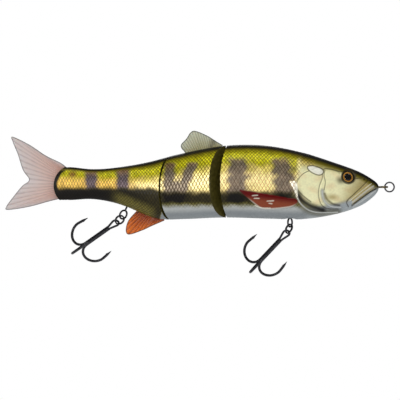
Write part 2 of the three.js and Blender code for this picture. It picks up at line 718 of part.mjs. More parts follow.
const middle = new THREE.Group();
middle.position.x = frontHingeX;
middle.rotation.z = MIDDLE_YAW;
swimbait.add(middle);
addHinge(swimbait, middle, "front", frontJoint, frontHingeX);

// Places are back from the hinge, with the height over the back line there.
const dorsalRoot = (x) => backAt(FRONT_LENGTH - x);
const dorsalEdge = [
  [1.9, -0.5], [1.9, 0.59], [-1.9, 3.31], [-6.4, 6.83], [-12.9, 10.64],
  [-15.6, 10.28], [-17.7, 7.62], [-20.6, 5.04], [-20.4, 2.79], [-18.5, -0.5],
].map(([x, rise]) => [x, dorsalRoot(x) + rise]);
const dorsalTab = [
  [-3, dorsalRoot(-3) + 1], [-3, dorsalRoot(-3) - FIN_TAB_DEPTH],
  [-16.5, dorsalRoot(-16.5) - FIN_TAB_DEPTH], [-16.5, dorsalRoot(-16.5) + 1],
];
const middleFrom = FRONT_LENGTH - 8;
const middleTo = FRONT_LENGTH + MIDDLE_LENGTH + 4;
const dorsalFin = fin(dorsalEdge, dorsalTab, FIN_THICKNESS, middleFrom, middleTo, FRONT_LENGTH);
addMesh(middle, "dorsal_fin", dorsalFin, creamFin);

const middleBody = bodyLoft(middleFrom, middleTo, FRONT_LENGTH);
const middleCavityFront = 6.5;
const middleCavityRear = MIDDLE_LENGTH - CUP_DEPTH - CUP_BULKHEAD;
const middleCavity = bodyLoft(
  FRONT_LENGTH + middleCavityFront,
  FRONT_LENGTH + middleCavityRear,
  FRONT_LENGTH,
  walls,
);
const toRearHinge = moved(-MIDDLE_LENGTH, 0, 0);
const middleSection = middleBody
  .intersect(behindWedge(frontJoint))
  .subtract(middleCavity)
  .subtract(noseSlots(frontJoint))
  .subtract(solidOf(geometryOf(behindCup(rearJoint)), toRearHinge))
  .subtract(solidOf(geometryOf(shankHoles(rearJoint)), toRearHinge))
  .subtract(tabSlot(dorsalTab, FIN_THICKNESS));
addShells(middle, "middle", middleSection);
const middleBallast = ballast(
  FRONT_LENGTH + middleCavityFront + CLEARANCE,
  FRONT_LENGTH + MIDDLE_LENGTH - HINGE_SHANK_LENGTH - 2 * CLEARANCE,
  FRONT_LENGTH,
);
addMesh(middle, "middle_ballast", middleBallast, lead);

// ---- rear section -------------------------------------------------------------------------

const rear = new THREE.Group();
rear.position.x = -MIDDLE_LENGTH;
rear.rotation.z = REAR_YAW;
middle.add(rear);
addHinge(middle, rear, "rear", rearJoint, -MIDDLE_LENGTH);

const rearHingeBack = FRONT_LENGTH + MIDDLE_LENGTH;
// Places are back from the hinge, with the drop under the belly line there.
const analRoot = (x) => bellyAt(rearHingeBack - x);
const analEdge = [
  [1.2, -0.5], [1.2, 0.64], [-5.5, 4.76], [-10.7, 9.1], [-17.6, 14.37],
  [-19.5, 13.09], [-18.4, 7.68], [-14.8, 1.63], [-12.9, -0.5],
].map(([x, drop]) => [x, analRoot(x) - drop]);
const analTab = [
  [-3.6, analRoot(-3.6) + FIN_TAB_DEPTH], [-3.6, analRoot(-3.6) - 1],
  [-12, analRoot(-12) - 1], [-12, analRoot(-12) + FIN_TAB_DEPTH],
];
const rearFrom = rearHingeBack - 6;
const rearTo = BODY_LENGTH + 2;
const analFin = fin(analEdge, analTab, FIN_THICKNESS, rearFrom, rearTo, rearHingeBack);
addMesh(rear, "anal_fin", analFin, orangeFin);

// The tail fin is clamped between the two cheeks at the end of the stalk.
const STALK_END_RADIUS = 11.3; // the stalk's end is round, seen from the side
const STALK_END_HEIGHT = 0.8; // centre of that round
const TAIL_SEAT = 8; // how far the fin reaches in between the cheeks
const tailRoot = TAIL_SEAT - REAR_LENGTH;
const tailEdge = [
  [tailRoot - 4.4, 13], [tailRoot - 12.5, 17], [tailRoot - 21.1, 22.7], [tailRoot - 30.2, 27],
  [tailRoot - 29.9, 23.8], [tailRoot - 27.4, 17.8], [tailRoot - 24.6, 9.2],
  [tailRoot - 21.3, 3.9], [tailRoot - 25, 0.6], [tailRoot - 29.6, -5], [tailRoot - 33.6, -10.6],
  [tailRoot - 32.4, -12.2], [tailRoot - 21.1, -10.5], [tailRoot - 9.2, -7.3],
  [tailRoot - 1, -5.6], [tailRoot, -4], [tailRoot, 8], [tailRoot - 1, 10.4],
];
addMesh(rear, "tail_fin", sidePlate(outline([...tailEdge, tailEdge[0]]), TAIL_THICKNESS), tailFinPink);

function stalkEnd() {
  const centre = STALK_END_RADIUS - REAR_LENGTH;
  const outer = BODY_HEIGHT;
  const shape = new THREE.Shape();
  shape.moveTo(outer, outer);
  shape.lineTo(centre, outer);
  shape.absarc(centre, STALK_END_HEIGHT, STALK_END_RADIUS, Math.PI / 2, 1.5 * Math.PI, false);
  shape.lineTo(centre, -outer);
  shape.lineTo(outer, -outer);
  return sidePlate(shape, 2 * BODY_WIDTH);
}
const tailSlot = box(
  2 * TAIL_SEAT,
  TAIL_THICKNESS + 2 * CLEARANCE,
  2 * BODY_HEIGHT,
  tailRoot + CLEARANCE - TAIL_SEAT,
  0,
  0,
);
const rearCavityFront = 7;
const rearCavityRear = 38;
const rearBody = bodyLoft(rearFrom, rearTo, rearHingeBack);
const rearCavity = bodyLoft(
  rearHingeBack + rearCavityFront,
  rearHingeBack + rearCavityRear,
  rearHingeBack,
  walls,
);
const rearSection = rearBody
  .intersect(behindWedge(rearJoint))
  .intersect(stalkEnd())
  .subtract(rearCavity)
  .subtract(noseSlots(rearJoint))
  .subtract(tabSlot(analTab, FIN_THICKNESS))
  .subtract(tailSlot)
  .subtract(hangerSeat(hangerFrame(rearHanger), rearHanger.dish));
addShells(rear, "rear", rearSection);
addMesh(
  rear,
  "rear_ballast",
  ballast(rearHingeBack + rearCavityFront + 0.5, rearHingeBack + 14, rearHingeBack),
  lead,
);
addHook(rear, "rear", rearHanger);

export default swimbait;
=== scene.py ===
# Jointed swimbait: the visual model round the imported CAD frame, in metres.
# Pieces are shaped in millimetres about their own hinge or link and placed at the end.
import json
import math

import bmesh
import bpy
import numpy as np
from mathutils import Matrix, Vector


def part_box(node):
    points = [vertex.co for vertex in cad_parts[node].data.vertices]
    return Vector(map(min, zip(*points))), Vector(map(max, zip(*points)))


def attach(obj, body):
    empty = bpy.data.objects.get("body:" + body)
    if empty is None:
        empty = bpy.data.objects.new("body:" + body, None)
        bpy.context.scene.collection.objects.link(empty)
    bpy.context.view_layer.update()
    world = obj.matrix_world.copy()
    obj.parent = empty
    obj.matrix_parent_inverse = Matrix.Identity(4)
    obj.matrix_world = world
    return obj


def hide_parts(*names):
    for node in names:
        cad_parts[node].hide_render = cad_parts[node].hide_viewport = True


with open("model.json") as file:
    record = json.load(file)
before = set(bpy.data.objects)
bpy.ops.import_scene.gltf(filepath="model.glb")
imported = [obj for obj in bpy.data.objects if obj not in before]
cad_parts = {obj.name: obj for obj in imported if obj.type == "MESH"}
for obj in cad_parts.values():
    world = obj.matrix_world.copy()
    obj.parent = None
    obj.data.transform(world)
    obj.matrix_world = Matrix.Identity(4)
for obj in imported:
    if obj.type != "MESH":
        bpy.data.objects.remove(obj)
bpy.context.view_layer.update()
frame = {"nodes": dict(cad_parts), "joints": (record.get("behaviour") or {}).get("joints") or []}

# ---- camera ---------------------------------------------------------------------------------
# A long lens looks square at the fish's right side from a metre and a half away.

CAMERA_DISTANCE = 1.5
VIEW_WIDTH = 0.2133
CENTRE_X = -0.0979
CENTRE_Z = -0.0069

camera = bpy.data.objects.new("camera", bpy.data.cameras.new("camera"))
bpy.context.scene.collection.objects.link(camera)
camera.data.sensor_width = 36
camera.data.lens = 36 * CAMERA_DISTANCE / VIEW_WIDTH
camera.location = (CENTRE_X, -CAMERA_DISTANCE, CENTRE_Z)
camera.rotation_euler = (math.pi / 2, 0, 0)
bpy.context.scene.camera = camera
bpy.context.scene.view_settings.view_transform = "Standard"

# ---- body: the three hard shells ------------------------------------------------------------
# Two moulded half shells per section, hollow, closed on the middle plane. The head, gill
# plates, scales and pectoral fins are raised in the mould, then painted and clear coated.

joints = {joint["name"]: joint for joint in frame["joints"]}
front_hinge = Vector(joints["front_joint_hinge"]["pos_m"])
rear_hinge = Vector(joints["rear_joint_hinge"]["pos_m"])

MM = 0.001
CLEARANCE = 0.3
SEAM_GAP = 0.3
NOSE_SETBACK = 2.6
FRONT_LENGTH = -front_hinge.x / MM - NOSE_SETBACK
MIDDLE_LENGTH = (front_hinge - rear_hinge).length / MM
REAR_LENGTH = (rear_hinge.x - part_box("rear_shell_right")[0].x) / MM
BODY_LENGTH = FRONT_LENGTH + MIDDLE_LENGTH + REAR_LENGTH
BODY_HEIGHT = 39
BODY_WIDTH = 24
SECTION_POWER = 2.25
MIDDLE_YAW = -math.atan2(rear_hinge.y - front_hinge.y, front_hinge.x - rear_hinge.x)

# Shares of the length, back from the nose, with shares of the height or the width.
BACK_LINE = [
    (0, 0), (0.021, 0.11), (0.058, 0.205), (0.132, 0.328), (0.23, 0.465), (0.34, 0.561),
    (0.438, 0.574), (0.518, 0.533), (0.625, 0.438), (0.724, 0.328), (0.822, 0.26),
    (0.883, 0.246), (0.945, 0.273), (1.03, 0.29),
]
BELLY_LINE = [
    (0, 0), (0.021, -0.15), (0.058, -0.26), (0.132, -0.37), (0.23, -0.437), (0.34, -0.43),
    (0.475, -0.415), (0.6, -0.437), (0.675, -0.437), (0.724, -0.369), (0.773, -0.274),
    (0.822, -0.205), (0.883, -0.164), (0.945, -0.177), (1.03, -0.187),
]
HALF_WIDTH_LINE = [
    (0, 0), (0.021, 0.155), (0.058, 0.262), (0.132, 0.39), (0.23, 0.476), (0.34, 0.5),
    (0.438, 0.485), (0.49, 0.46), (0.575, 0.433), (0.668, 0.375), (0.724, 0.333),
    (0.822, 0.233), (0.883, 0.183), (0.945, 0.142), (1.03, 0.1),
]


def smooth_line(points, scale):
    """A smooth line over millimetres back from the nose, upright at the nose tip."""
    s = np.sqrt([share for share, _ in points])
    v = np.array([value for _, value in points]) * scale
    slope = np.empty_like(v)
    slope[1:-1] = (v[2:] - v[:-2]) / (s[2:] - s[:-2])
    slope[0] = (v[1] - v[0]) / (s[1] - s[0])
    slope[-1] = (v[-1] - v[-2]) / (s[-1] - s[-2])

    def line(back):
        at = np.sqrt(np.maximum(back, 0) / BODY_LENGTH)
        i = np.clip(np.searchsorted(s, at) - 1, 0, len(s) - 2)
        step = s[i + 1] - s[i]
        t = (at - s[i]) / step
        start = (2 * t**3 - 3 * t**2 + 1) * v[i] + (t**3 - 2 * t**2 + t) * step * slope[i]
        end = (3 * t**2 - 2 * t**3) * v[i + 1] + (t**3 - t**2) * step * slope[i + 1]
        return start + end

    return line


back_at = smooth_line(BACK_LINE, BODY_HEIGHT)
belly_at = smooth_line(BELLY_LINE, BODY_HEIGHT)
half_width_at = smooth_line(HALF_WIDTH_LINE, BODY_WIDTH)


def step_up(value, low, high):
    """0 below low, 1 above high, smooth between."""
    t = np.clip((value - low) / (high - low), 0, 1)
    return t * t * (3 - 2 * t)


def bump(value, centre, half):
    """1 at the centre, 0 beyond the half width."""
    return 1 - step_up(np.abs(value - centre), 0, half)


def mix(a, b, share):
    return a + (b - a) * share


def through(points, closed=False, steps=10):
    """A smooth curve through a few points, as many short ones."""
    p = np.array(points, float)
    count = len(p)
    spans = count if closed else count - 1
    out = []
    for i in range(spans):
        near = [i - 1, i, i + 1, i + 2]
        near = [k % count if closed else min(max(k, 0), count - 1) for k in near]
        a, b, c, d = (p[k] for k in near)
        t = np.arange(steps)[:, None] / steps
        bend = (2 * a - 5 * b + 4 * c - d) * t**2 + (3 * b - a - 3 * c + d) * t**3
        out.append(0.5 * (2 * b + (c - a) * t + bend))
    if not closed:
        out.append(p[-1:])
    return np.concatenate(out)


def line_gap(back, z, line):
    """Distance from each place to a line of short pieces, and the share along it."""
    best = np.full(back.shape, 1e9)
    share = np.zeros(back.shape)
    for i in range(len(line) - 1):
        a, b = line[i], line[i + 1]
        run = b - a
        t = ((back - a[0]) * run[0] + (z - a[1]) * run[1]) / max(run @ run, 1e-12)
        t = np.clip(t, 0, 1)
        gap = np.hypot(back - a[0] - t * run[0], z - a[1] - t * run[1])
        nearer = gap < best
        best = np.where(nearer, gap, best)
        share = np.where(nearer, (i + t) / (len(line) - 1), share)
    return best, share


def on_line(back, z, points, half, away=0):
    """1 on a smooth line over the flank, or at a distance from it, 0 beyond the half width."""
    gap, _ = line_gap(back, z, through(points))
    return bump(gap, away, half)


def inside(back, z, points):
    """Signed depth inside a smooth closed outline, in millimetres."""
    line = through(points, closed=True)
    within = np.zeros(back.shape, bool)
    for a, b in zip(line, np.roll(line, -1, axis=0)):
        crosses = (a[1] > z) != (b[1] > z)
        rise = b[1] - a[1] if b[1] != a[1] else 1e-9
        within ^= crosses & (back < a[0] + (b[0] - a[0]) * (z - a[1]) / rise)
    gap, _ = line_gap(back, z, np.concatenate([line, line[:1]]))
    return np.where(within, gap, -gap)


# Features of the head and flank, as (millimetres behind the nose, height).
GILL_PLATE = [
    (30, 10.5), (35.9, 9.4), (40.6, 7.4), (43.4, 3.9), (44.2, 0.2), (42.8, -2.6), (40, -5.4),
    (36.6, -7.9), (32.6, -9.5), (29, -6), (28, 3),
]
CHEEK_PLATE = [
    (29.6, 9.4), (30.6, 5), (31.8, 1), (32.6, -3), (32.2, -6.3), (30.8, -9.4), (27.8, -11.3),
    (21.6, -11.7), (16, -9.6), (15.5, -3), (20, 4), (22.2, 8.6),
]
PECTORAL_FIN = [
    (74.6, -1.6), (69.8, -2), (63, -3.1), (56.2, -4.3), (49.4, -5.6), (44.6, -6.2),
    (43.6, -8.2), (46, -10), (50, -10.9), (57.6, -11.6), (62.6, -11.3), (66, -9.2),
    (69.6, -6.2),
]
CREAM_BLOB = [
    (38.2, 10.4), (35.5, 11.1), (30.8, 9.4), (30.3, 7.4), (32.6, 6.5), (36.4, 8.1),
]
# The flap behind the gill plate: raised, and painted cream as a highlight.
HIGHLIT_SHOULDER_FLAP = [(47.8, 2.6), (44.2, 2.7), (43.4, -2.2), (43.8, -6.6), (46, -1.2)]
MEMBRANE = [(44.2, -3.2), (42.6, -8), (37.8, -12.2), (31.6, -13.6), (22, -13.4)]
GILL_SHADOW = [(43.4, -4.2), (41.2, -7), (37.4, -9.6), (33.6, -11), (30, -12.2)]
GILL_EDGE = [
    (30.5, 9.7), (35.9, 9), (40.5, 7.1), (43.5, 3.7), (44.2, 0.2), (42.8, -2.4), (40, -5.2),
    (36.6, -7.8),
]
CHEEK_EDGE = [
    (20, 8.2), (22.4, 8.4), (26.5, 9.5), (29.8, 9.3), (30.6, 4.6), (31.9, 1), (32.6, -3),
    (32.2, -6.3), (30.9, -9.3), (28, -11.3), (22, -11.7),
]
CHEEK_BAND = [(30.6, -2), (30.2, -5.2), (28.6, -8.4), (25.4, -10.4), (20.5, -10.8)]
CHEEK_SHADOW = [(29.2, -3.6), (28, -6.4), (25, -8.9), (21.4, -9.7)]
SECOND_LINE = [(29.1, 8.8), (29.6, 5.9), (28.9, 2.6), (29.5, -1.4)]
FIN_GLINTS = [
    [(67.6, -4.6), (64.8, -4.4)], [(66.6, -6), (64, -6.1)], [(59.8, -7.5), (56.4, -7.3)],
    [(58.8, -8.6), (57.2, -8.9)], [(66.2, -9.9), (62.4, -11.1), (58, -11.2)],
]
NOSTRIL_LINE = [(12.4, 4.4), (10.6, 4.7), (8.9, 4.7)]
MOUTH_LINE = [(1.4, -0.9), (4.6, -2.6), (8.6, -5.4), (12.2, -8), (14.4, -9.8)]
UPPER_LIP = [(3, 0.5), (6.4, -1.8), (10.4, -4.9), (14.4, -8.2)]
LIP_RIDGE = [(4.2, 1.7), (7.6, -0.8), (11.6, -3.9), (15.8, -7.4)]
MAXILLA = [(5.5, 4), (8.5, 0.9), (13.4, -3.7), (17.3, -7.6), (16.4, -10.4)]
LOWER_LIP = [(1.9, -2), (5.2, -4.6), (9.4, -7.6), (13.6, -10.3)]
NOSTRIL = (7.9, 4.1)
EYE_PLACE = {"back": 16.5, "z": 5.5}
EYE_RADIUS = 3.2


def scale_width(back):
    return mix(1.85, 1.5, step_up(back, 100, 150))


stations_along = np.arange(0, BODY_LENGTH + 10, 0.5)
scales_along = np.cumsum(0.5 / scale_width(stations_along))


def scale_lattice(back, turn, reach):
    """Place on the diamond lattice of scales, in scale widths: along and round the body."""
    along = np.interp(back, stations_along, scales_along)
    round_body = turn * reach / (scale_width(back) * 1.2)
    return along, round_body


def scaled_area(back, z):
    """Where the mould has scales: the flanks behind the gill plate."""
    behind_gill = step_up(back + 0.3 * np.abs(z), 44, 46)
    fin_gap = 1 - step_up(inside(back, z, PECTORAL_FIN), -0.8, 0)
    nape = np.maximum(behind_gill, step_up(back, 33, 37) * step_up(z, 10.5, 12))
    return nape * fin_gap


def relief(back, z, turn, reach):
    """How far the mould stands proud of the plain body, in millimetres."""
    def line(points, half, away=0):
        return on_line(back, z, points, half, away)

    def plate(outline, rounding, height, groove):
        depth = inside(back, z, outline)
        return step_up(depth, -0.1, rounding) * height - groove * bump(depth, -0.35, 0.5)

    gill = plate(GILL_PLATE, 0.7, 0.42, 0.22) * step_up(back, 28, 33)
    gill = gill - 0.3 * line(GILL_SHADOW, 1.2)
    cheek = plate(CHEEK_PLATE, 0.9, 0.4, 0.2) * step_up(back, 16, 24)
    cheek = cheek + 0.25 * line(CHEEK_BAND, 1) - 0.25 * line(CHEEK_SHADOW, 0.7)
    fin_depth = inside(back, z, PECTORAL_FIN)
    _, fin_share = line_gap(back, z, through([(44, -8), (58, -7), (74, -2)]))
    ray = np.cos(2 * math.pi * 9 * np.arctan2(z + 7.6, back - 36) / 0.32)
    fin_body = step_up(fin_depth, -0.2, 0.9)
    fin = fin_body * (0.55 + 0.1 * ray * (1 - 0.4 * fin_share))
    fin = fin - 0.2 * bump(fin_depth, -0.5, 0.5)
    for points in FIN_GLINTS:
        fin = fin + 0.2 * line(points, 0.5)
    blob = 0.3 * step_up(inside(back, z, CREAM_BLOB), -0.1, 0.8)
    flap = 0.35 * step_up(inside(back, z, HIGHLIT_SHOULDER_FLAP), -0.1, 0.7)
    membrane = 0.35 * line(MEMBRANE, 1.1) - 0.2 * line(MEMBRANE, 0.5, away=1.5)
    second = -0.22 * line(SECOND_LINE, 0.5)
    mouth = -0.8 * line(MOUTH_LINE, 0.75)
    lips = 0.4 * line(UPPER_LIP, 0.8) + 0.5 * line(LOWER_LIP, 1.2)
    lips = lips + 0.3 * line(LIP_RIDGE, 0.7) - 0.35 * line(MAXILLA, 0.6)
    nostril_gap = np.hypot((back - NOSTRIL[0]) * 0.8, z - NOSTRIL[1])
    nostril = 0.16 * bump(nostril_gap, 0.75, 0.4) - 0.45 * bump(nostril_gap, 0, 0.6)
    eye_gap = np.hypot(back - EYE_PLACE["back"], z - EYE_PLACE["z"])
    socket = 0.3 * bump(eye_gap, EYE_RADIUS + 0.7, 1.1)
    along, round_body = scale_lattice(back, turn, reach)
    p = np.mod(along + round_body, 1)
    q = np.mod(along - round_body, 1)
    edge = np.maximum(p, q)
    tile = (p + q) / 2 * (1 - step_up(edge, 0.78, 1))
    scales = 0.2 * tile * scaled_area(back, z)
    height = gill + cheek + fin + blob + flap + membrane + second + mouth + lips + nostril
    return height + socket + scales


def mesh_object(name, verts, faces, looks=(), edges=()):
    mesh = bpy.data.meshes.new(name)
    faces = [tuple(map(int, face)) for face in faces]
    mesh.from_pydata(np.asarray(verts, float).tolist(), edges, faces)
    for look in looks:
        mesh.materials.append(look)
    piece = bpy.data.objects.new(name, mesh)
    bpy.context.scene.collection.objects.link(piece)
    return piece


def grid_faces(rows, columns, first=0, around=True):
    """Quads of a grid whose columns go round, rows from start to end."""
    faces = []
    for i in range(rows - 1):
        for k in range(columns if around else columns - 1):
            a = first + i * columns + k
            b = first + i * columns + (k + 1) % columns
            faces.append((a, b, b + columns, a + columns))
    return faces


def tube_faces(rows, columns):
    """A grid that goes round, closed with a cap at each end."""
    faces = grid_faces(rows, columns)
    faces.append(tuple(range(columns - 1, -1, -1)))
    faces.append(tuple((rows - 1) * columns + k for k in range(columns)))
    return faces


def body_ring(back, wall, count, full):
    """Turns round the section, y and z, and the radii, at one station."""
    top = back_at(back) - wall["back"]
    bottom = belly_at(back) + wall["belly"]
    reach = (top - bottom) / 2
    half_width = half_width_at(back) - wall["flank"]
    span = math.pi if full else math.pi / 2
    turn = np.linspace(-span, span, count, endpoint=not full)
    c, s = np.cos(turn), np.sin(turn)
    y = np.sign(c) * np.abs(c) ** (2 / SECTION_POWER) * half_width
    z = np.sign(s) * np.abs(s) ** (2 / SECTION_POWER) * reach + (top + bottom) / 2
    return turn, y, z, reach, half_width


NO_WALL = {"flank": 0, "back": 0, "belly": 0}
CAVITY_WALL = {"flank": 1.8, "back": 4.5, "belly": 5}
SKIN_SAMPLES = 168
HEAD_PITCH = 0.25
FLANK_PITCH = 0.34
HEAD_END = 48


def half_skin(first, last, origin_back, side):
    """One raised half of the body as a closed solid, flat on the middle plane."""
    stations = [0.12]
    while stations[-1] < last:
        pitch = HEAD_PITCH if stations[-1] < HEAD_END else FLANK_PITCH
        stations.append(stations[-1] + pitch)
    stations = np.array([b for b in stations if b >= first])
    rows = []
    turns, reaches = [], []
    for back in stations:
        turn, y, z, reach, half_width = body_ring(back, NO_WALL, SKIN_SAMPLES, full=False)
        rows.append(np.stack([np.full_like(y, back), y, z], axis=1))
        turns.append(turn)
        reaches.append(np.full_like(turn, (reach + half_width) / 2))
    grid = np.array(rows)
    along = np.gradient(grid, axis=0)
    across = np.gradient(grid, axis=1)
    normal = np.cross(across, along)
    normal /= np.maximum(np.linalg.norm(normal, axis=2, keepdims=True), 1e-9)
    outward = np.sign(normal[:, SKIN_SAMPLES // 2, 1:2])[:, None]
    lift = relief(grid[..., 0], grid[..., 2], np.array(turns), np.array(reaches))
    seam_fade = step_up(grid[..., 1], 0.1, 0.8)
    grid = grid + normal * outward * (lift * seam_fade)[..., None]
    grid[..., 1] = np.maximum(grid[..., 1], SEAM_GAP / 2) * side
    grid[..., 0] = origin_back - grid[..., 0]
    rows, columns = grid.shape[:2]
    faces = tube_faces(rows, columns)
    if side < 0:
        faces = [face[::-1] for face in faces]
    return grid.reshape(-1, 3), faces


def loft(first, last, origin_back, wall, count=64, pitch=1.5):
    """A plain closed loft of the body, drawn in by the walls."""
    stations = np.linspace(first, last, int((last - first) / pitch) + 2)
    verts = []
    for back in stations:
        _, y, z, _, _ = body_ring(back, wall, count, full=True)
        verts.append(np.stack([np.full_like(y, origin_back - back), y, z], axis=1))
    return np.concatenate(verts), tube_faces(len(stations), count)


def prism(outline, low, high, axis="z"):
    """A closed outline stretched from low to high, upright (z) or across the body (y)."""
    outline = np.array(outline, float)
    count = len(outline)
    ends = []
    for level in (low, high):
        flat = np.full(count, level)
        columns = [outline[:, 0], outline[:, 1], flat]
        if axis == "y":
            columns = [outline[:, 0], flat, outline[:, 1]]
        ends.append(np.stack(columns, axis=1))
    return np.concatenate(ends), tube_faces(2, count)


def circle(radius, count=48):
    turn = np.linspace(0, 2 * math.pi, count, endpoint=False)
    return radius * np.stack([np.cos(turn), np.sin(turn)], axis=1)


def arc(radius, start, end, count, x=0, y=0):
    return [
        (x + radius * math.cos(t), y + radius * math.sin(t)) for t in np.linspace(start, end, count)
    ]


def moved(solid, matrix):
    verts, faces = solid
    m = np.array(matrix)
    return verts @ m[:3, :3].T + m[:3, 3], faces


def outward_faces(mesh):
    """Turns every face of a closed mesh outwards."""
    work = bmesh.new()
    work.from_mesh(mesh)
    bmesh.ops.recalc_face_normals(work, faces=work.faces)
    work.to_mesh(mesh)
    work.free()


def finished_mesh(piece):
    """Replaces a piece's mesh with the result of its modifiers, and removes them."""
    bpy.context.view_layer.update()
    evaluated = piece.evaluated_get(bpy.context.evaluated_depsgraph_get())
    mesh = bpy.data.meshes.new_from_object(evaluated)
    piece.modifiers.clear()
    old = piece.data
    piece.data = mesh
    mesh.name = piece.name
    bpy.data.meshes.remove(old)


def cut(piece, solid, look, keep_inside=False):
    """Cuts a solid from a piece, or keeps what is inside it. Cut faces take the look."""
    cutter = mesh_object("cutter", *solid, [look])
    outward_faces(cutter.data)
    modifier = piece.modifiers.new("cut", "BOOLEAN")
    modifier.object = cutter
    modifier.solver = "MANIFOLD"
    modifier.material_mode = "TRANSFER"
    modifier.operation = "INTERSECT" if keep_inside else "DIFFERENCE"
    finished_mesh(piece)
    spent = cutter.data
    bpy.data.objects.remove(cutter)
    bpy.data.meshes.remove(spent)


# ---- body: the joint faces between sections --------------------------------------------------
# Each section ahead ends in a shallow cup, and the one behind has a wedge nose with a round tip
# about the hinge pin. Slots take the wire eyes, and a hole takes the pin.

HINGE_PIN_RADIUS = 0.9
HINGE_WIRE_RADIUS = 0.55
HINGE_LOOP_RADIUS = 1.95
HINGE_SHANK_LENGTH = 9
WEDGE_TIP_RADIUS = HINGE_LOOP_RADIUS + HINGE_WIRE_RADIUS + 1.1
CUP_DEPTH = WEDGE_TIP_RADIUS + 0.7
EYE_SLOT_RADIUS = HINGE_LOOP_RADIUS + HINGE_WIRE_RADIUS + CLEARANCE + 0.1
EYE_SLOT_HEIGHT = 2 * (HINGE_WIRE_RADIUS + CLEARANCE + 0.1)
HINGE_SWING = math.radians(17.5)
FAR = 2 * BODY_LENGTH

front_joint = {
    "half_width": float(half_width_at(FRONT_LENGTH)), "cup_rim": 0.5, "wedge_edge": -3.4,
    "eyes": (9, -6), "pin": (-10.5, 13),
}
rear_joint = {
    "half_width": float(half_width_at(FRONT_LENGTH + MIDDLE_LENGTH)), "cup_rim": 0.9,
    "wedge_edge": -1.9, "eyes": (6, -7), "pin": (-11.5, 9.5),
}


def behind_cup(joint):
    """Everything behind the cup that ends a section."""
    half = joint["half_width"]
    outer = half + 4
    rise = CUP_DEPTH - joint["cup_rim"]
    radius = (half**2 + rise**2) / (2 * rise)
    angle = math.asin(half / radius)
    bowl = arc(radius, -angle, angle, 40, CUP_DEPTH - radius)
    rim = joint["cup_rim"] - 0.6
    shape = [(rim, -outer), *bowl, (rim, outer), (-FAR, outer), (-FAR, -outer)]
    return prism(shape, -BODY_HEIGHT, BODY_HEIGHT)


def behind_wedge(joint):
    """Everything behind the wedge nose that starts a section."""
    edge = np.array([joint["wedge_edge"], joint["half_width"]])
    tangent = math.atan2(edge[1], edge[0]) - math.acos(WEDGE_TIP_RADIUS / np.hypot(*edge))
    touch = WEDGE_TIP_RADIUS * np.array([math.cos(tangent), math.sin(tangent)])
    slope = (edge - touch) / np.hypot(*(edge - touch))
    far = edge + 4 * slope
    tip = arc(WEDGE_TIP_RADIUS, -tangent, tangent, 40)
    shape = [(-FAR, -far[1]), (far[0], -far[1]), *tip, tuple(far), (-FAR, far[1])]
    return prism(shape, -BODY_HEIGHT, BODY_HEIGHT)


def lengthwise(radius, rear, front, z):
    """A cylinder along the body."""
    to_place = Matrix.Translation((0, 0, z)) @ Matrix.Rotation(math.pi / 2, 4, "Y")
    return moved(prism(circle(radius, 20), rear, front), to_place)


def nose_slots(joint):
    """What the wedge nose loses: the slots of the wire eyes and the hole of the pin."""
    half_opening = WEDGE_TIP_RADIUS * math.sin(HINGE_SWING) + HINGE_WIRE_RADIUS + CLEARANCE
    low, high = joint["pin"]
    solids = [prism(circle(HINGE_PIN_RADIUS + CLEARANCE, 24), low - CLEARANCE, high + CLEARANCE)]
    for z in joint["eyes"]:
        bottom, top = z - EYE_SLOT_HEIGHT / 2, z + EYE_SLOT_HEIGHT / 2
        solids.append(prism(circle(EYE_SLOT_RADIUS), bottom, top))
        reach = WEDGE_TIP_RADIUS + 1
        mouth = [(0, -half_opening), (reach, -half_opening), (reach, half_opening)]
        solids.append(prism([*mouth, (0, half_opening)], bottom + 0.001, top - 0.001))
    return solids


def shank_holes(joint, x):
    radius = HINGE_WIRE_RADIUS + CLEARANCE
    reach = HINGE_SHANK_LENGTH + CLEARANCE
    holes = [lengthwise(radius, 0, reach, z) for z in joint["eyes"]]
    return [moved(hole, Matrix.Translation((x, 0, 0))) for hole in holes]


# The eyes' round pockets, the line tie's room and the hangers' seats.
TIE_LOOP_RADIUS = 1.9
TIE_WIRE_RADIUS = 0.55
TIE_SHANK_LENGTH = 13
EYE_POCKET_DEPTH = 1.6


def flank_at(back, z):
    middle = (back_at(back) + belly_at(back)) / 2
    reach = (back_at(back) - belly_at(back)) / 2
    share = min(1, abs(z - middle) / reach)
    return float(half_width_at(back) * (1 - share**SECTION_POWER) ** (1 / SECTION_POWER))


def eye_frame(side):
    """The eye's place: its axis points out, a little forward and a little up."""
    y = side * flank_at(EYE_PLACE["back"], EYE_PLACE["z"])
    outward = Vector((0.32, side, 0.3)).normalized()
    turn = Vector((0, 0, 1)).rotation_difference(outward).to_matrix().to_4x4()
    place = Matrix.Translation((-NOSE_SETBACK - EYE_PLACE["back"], y, EYE_PLACE["z"]))
    return place @ turn


HANGER_WIRE_RADIUS = 0.5
HANGER_LOOP_RADIUS = 2.35
SLEEVE_LENGTH = 3.2
SLEEVE_SETBACK = 1.4
SLEEVE_BORE = HANGER_WIRE_RADIUS + CLEARANCE
SLEEVE_RADIUS = SLEEVE_BORE + 0.8
HANGER_HEAD_HEIGHT = 0.8
HEAD_LOW = SLEEVE_SETBACK + SLEEVE_LENGTH + 0.3


def link_frame(origin, down, turn):
    """A hanging link's place: -Z runs down the chain, Y is the normal of its loop."""
    z = -Vector(down).normalized()
    y = Vector((0, 1, 0))
    y = (y - z * y.dot(z)).normalized()
    y.rotate(Matrix.Rotation(math.radians(turn), 3, z))
    x = y.cross(z)
    axes = Matrix((x, y, z)).transposed().to_4x4()
    return Matrix.Translation(origin) @ axes


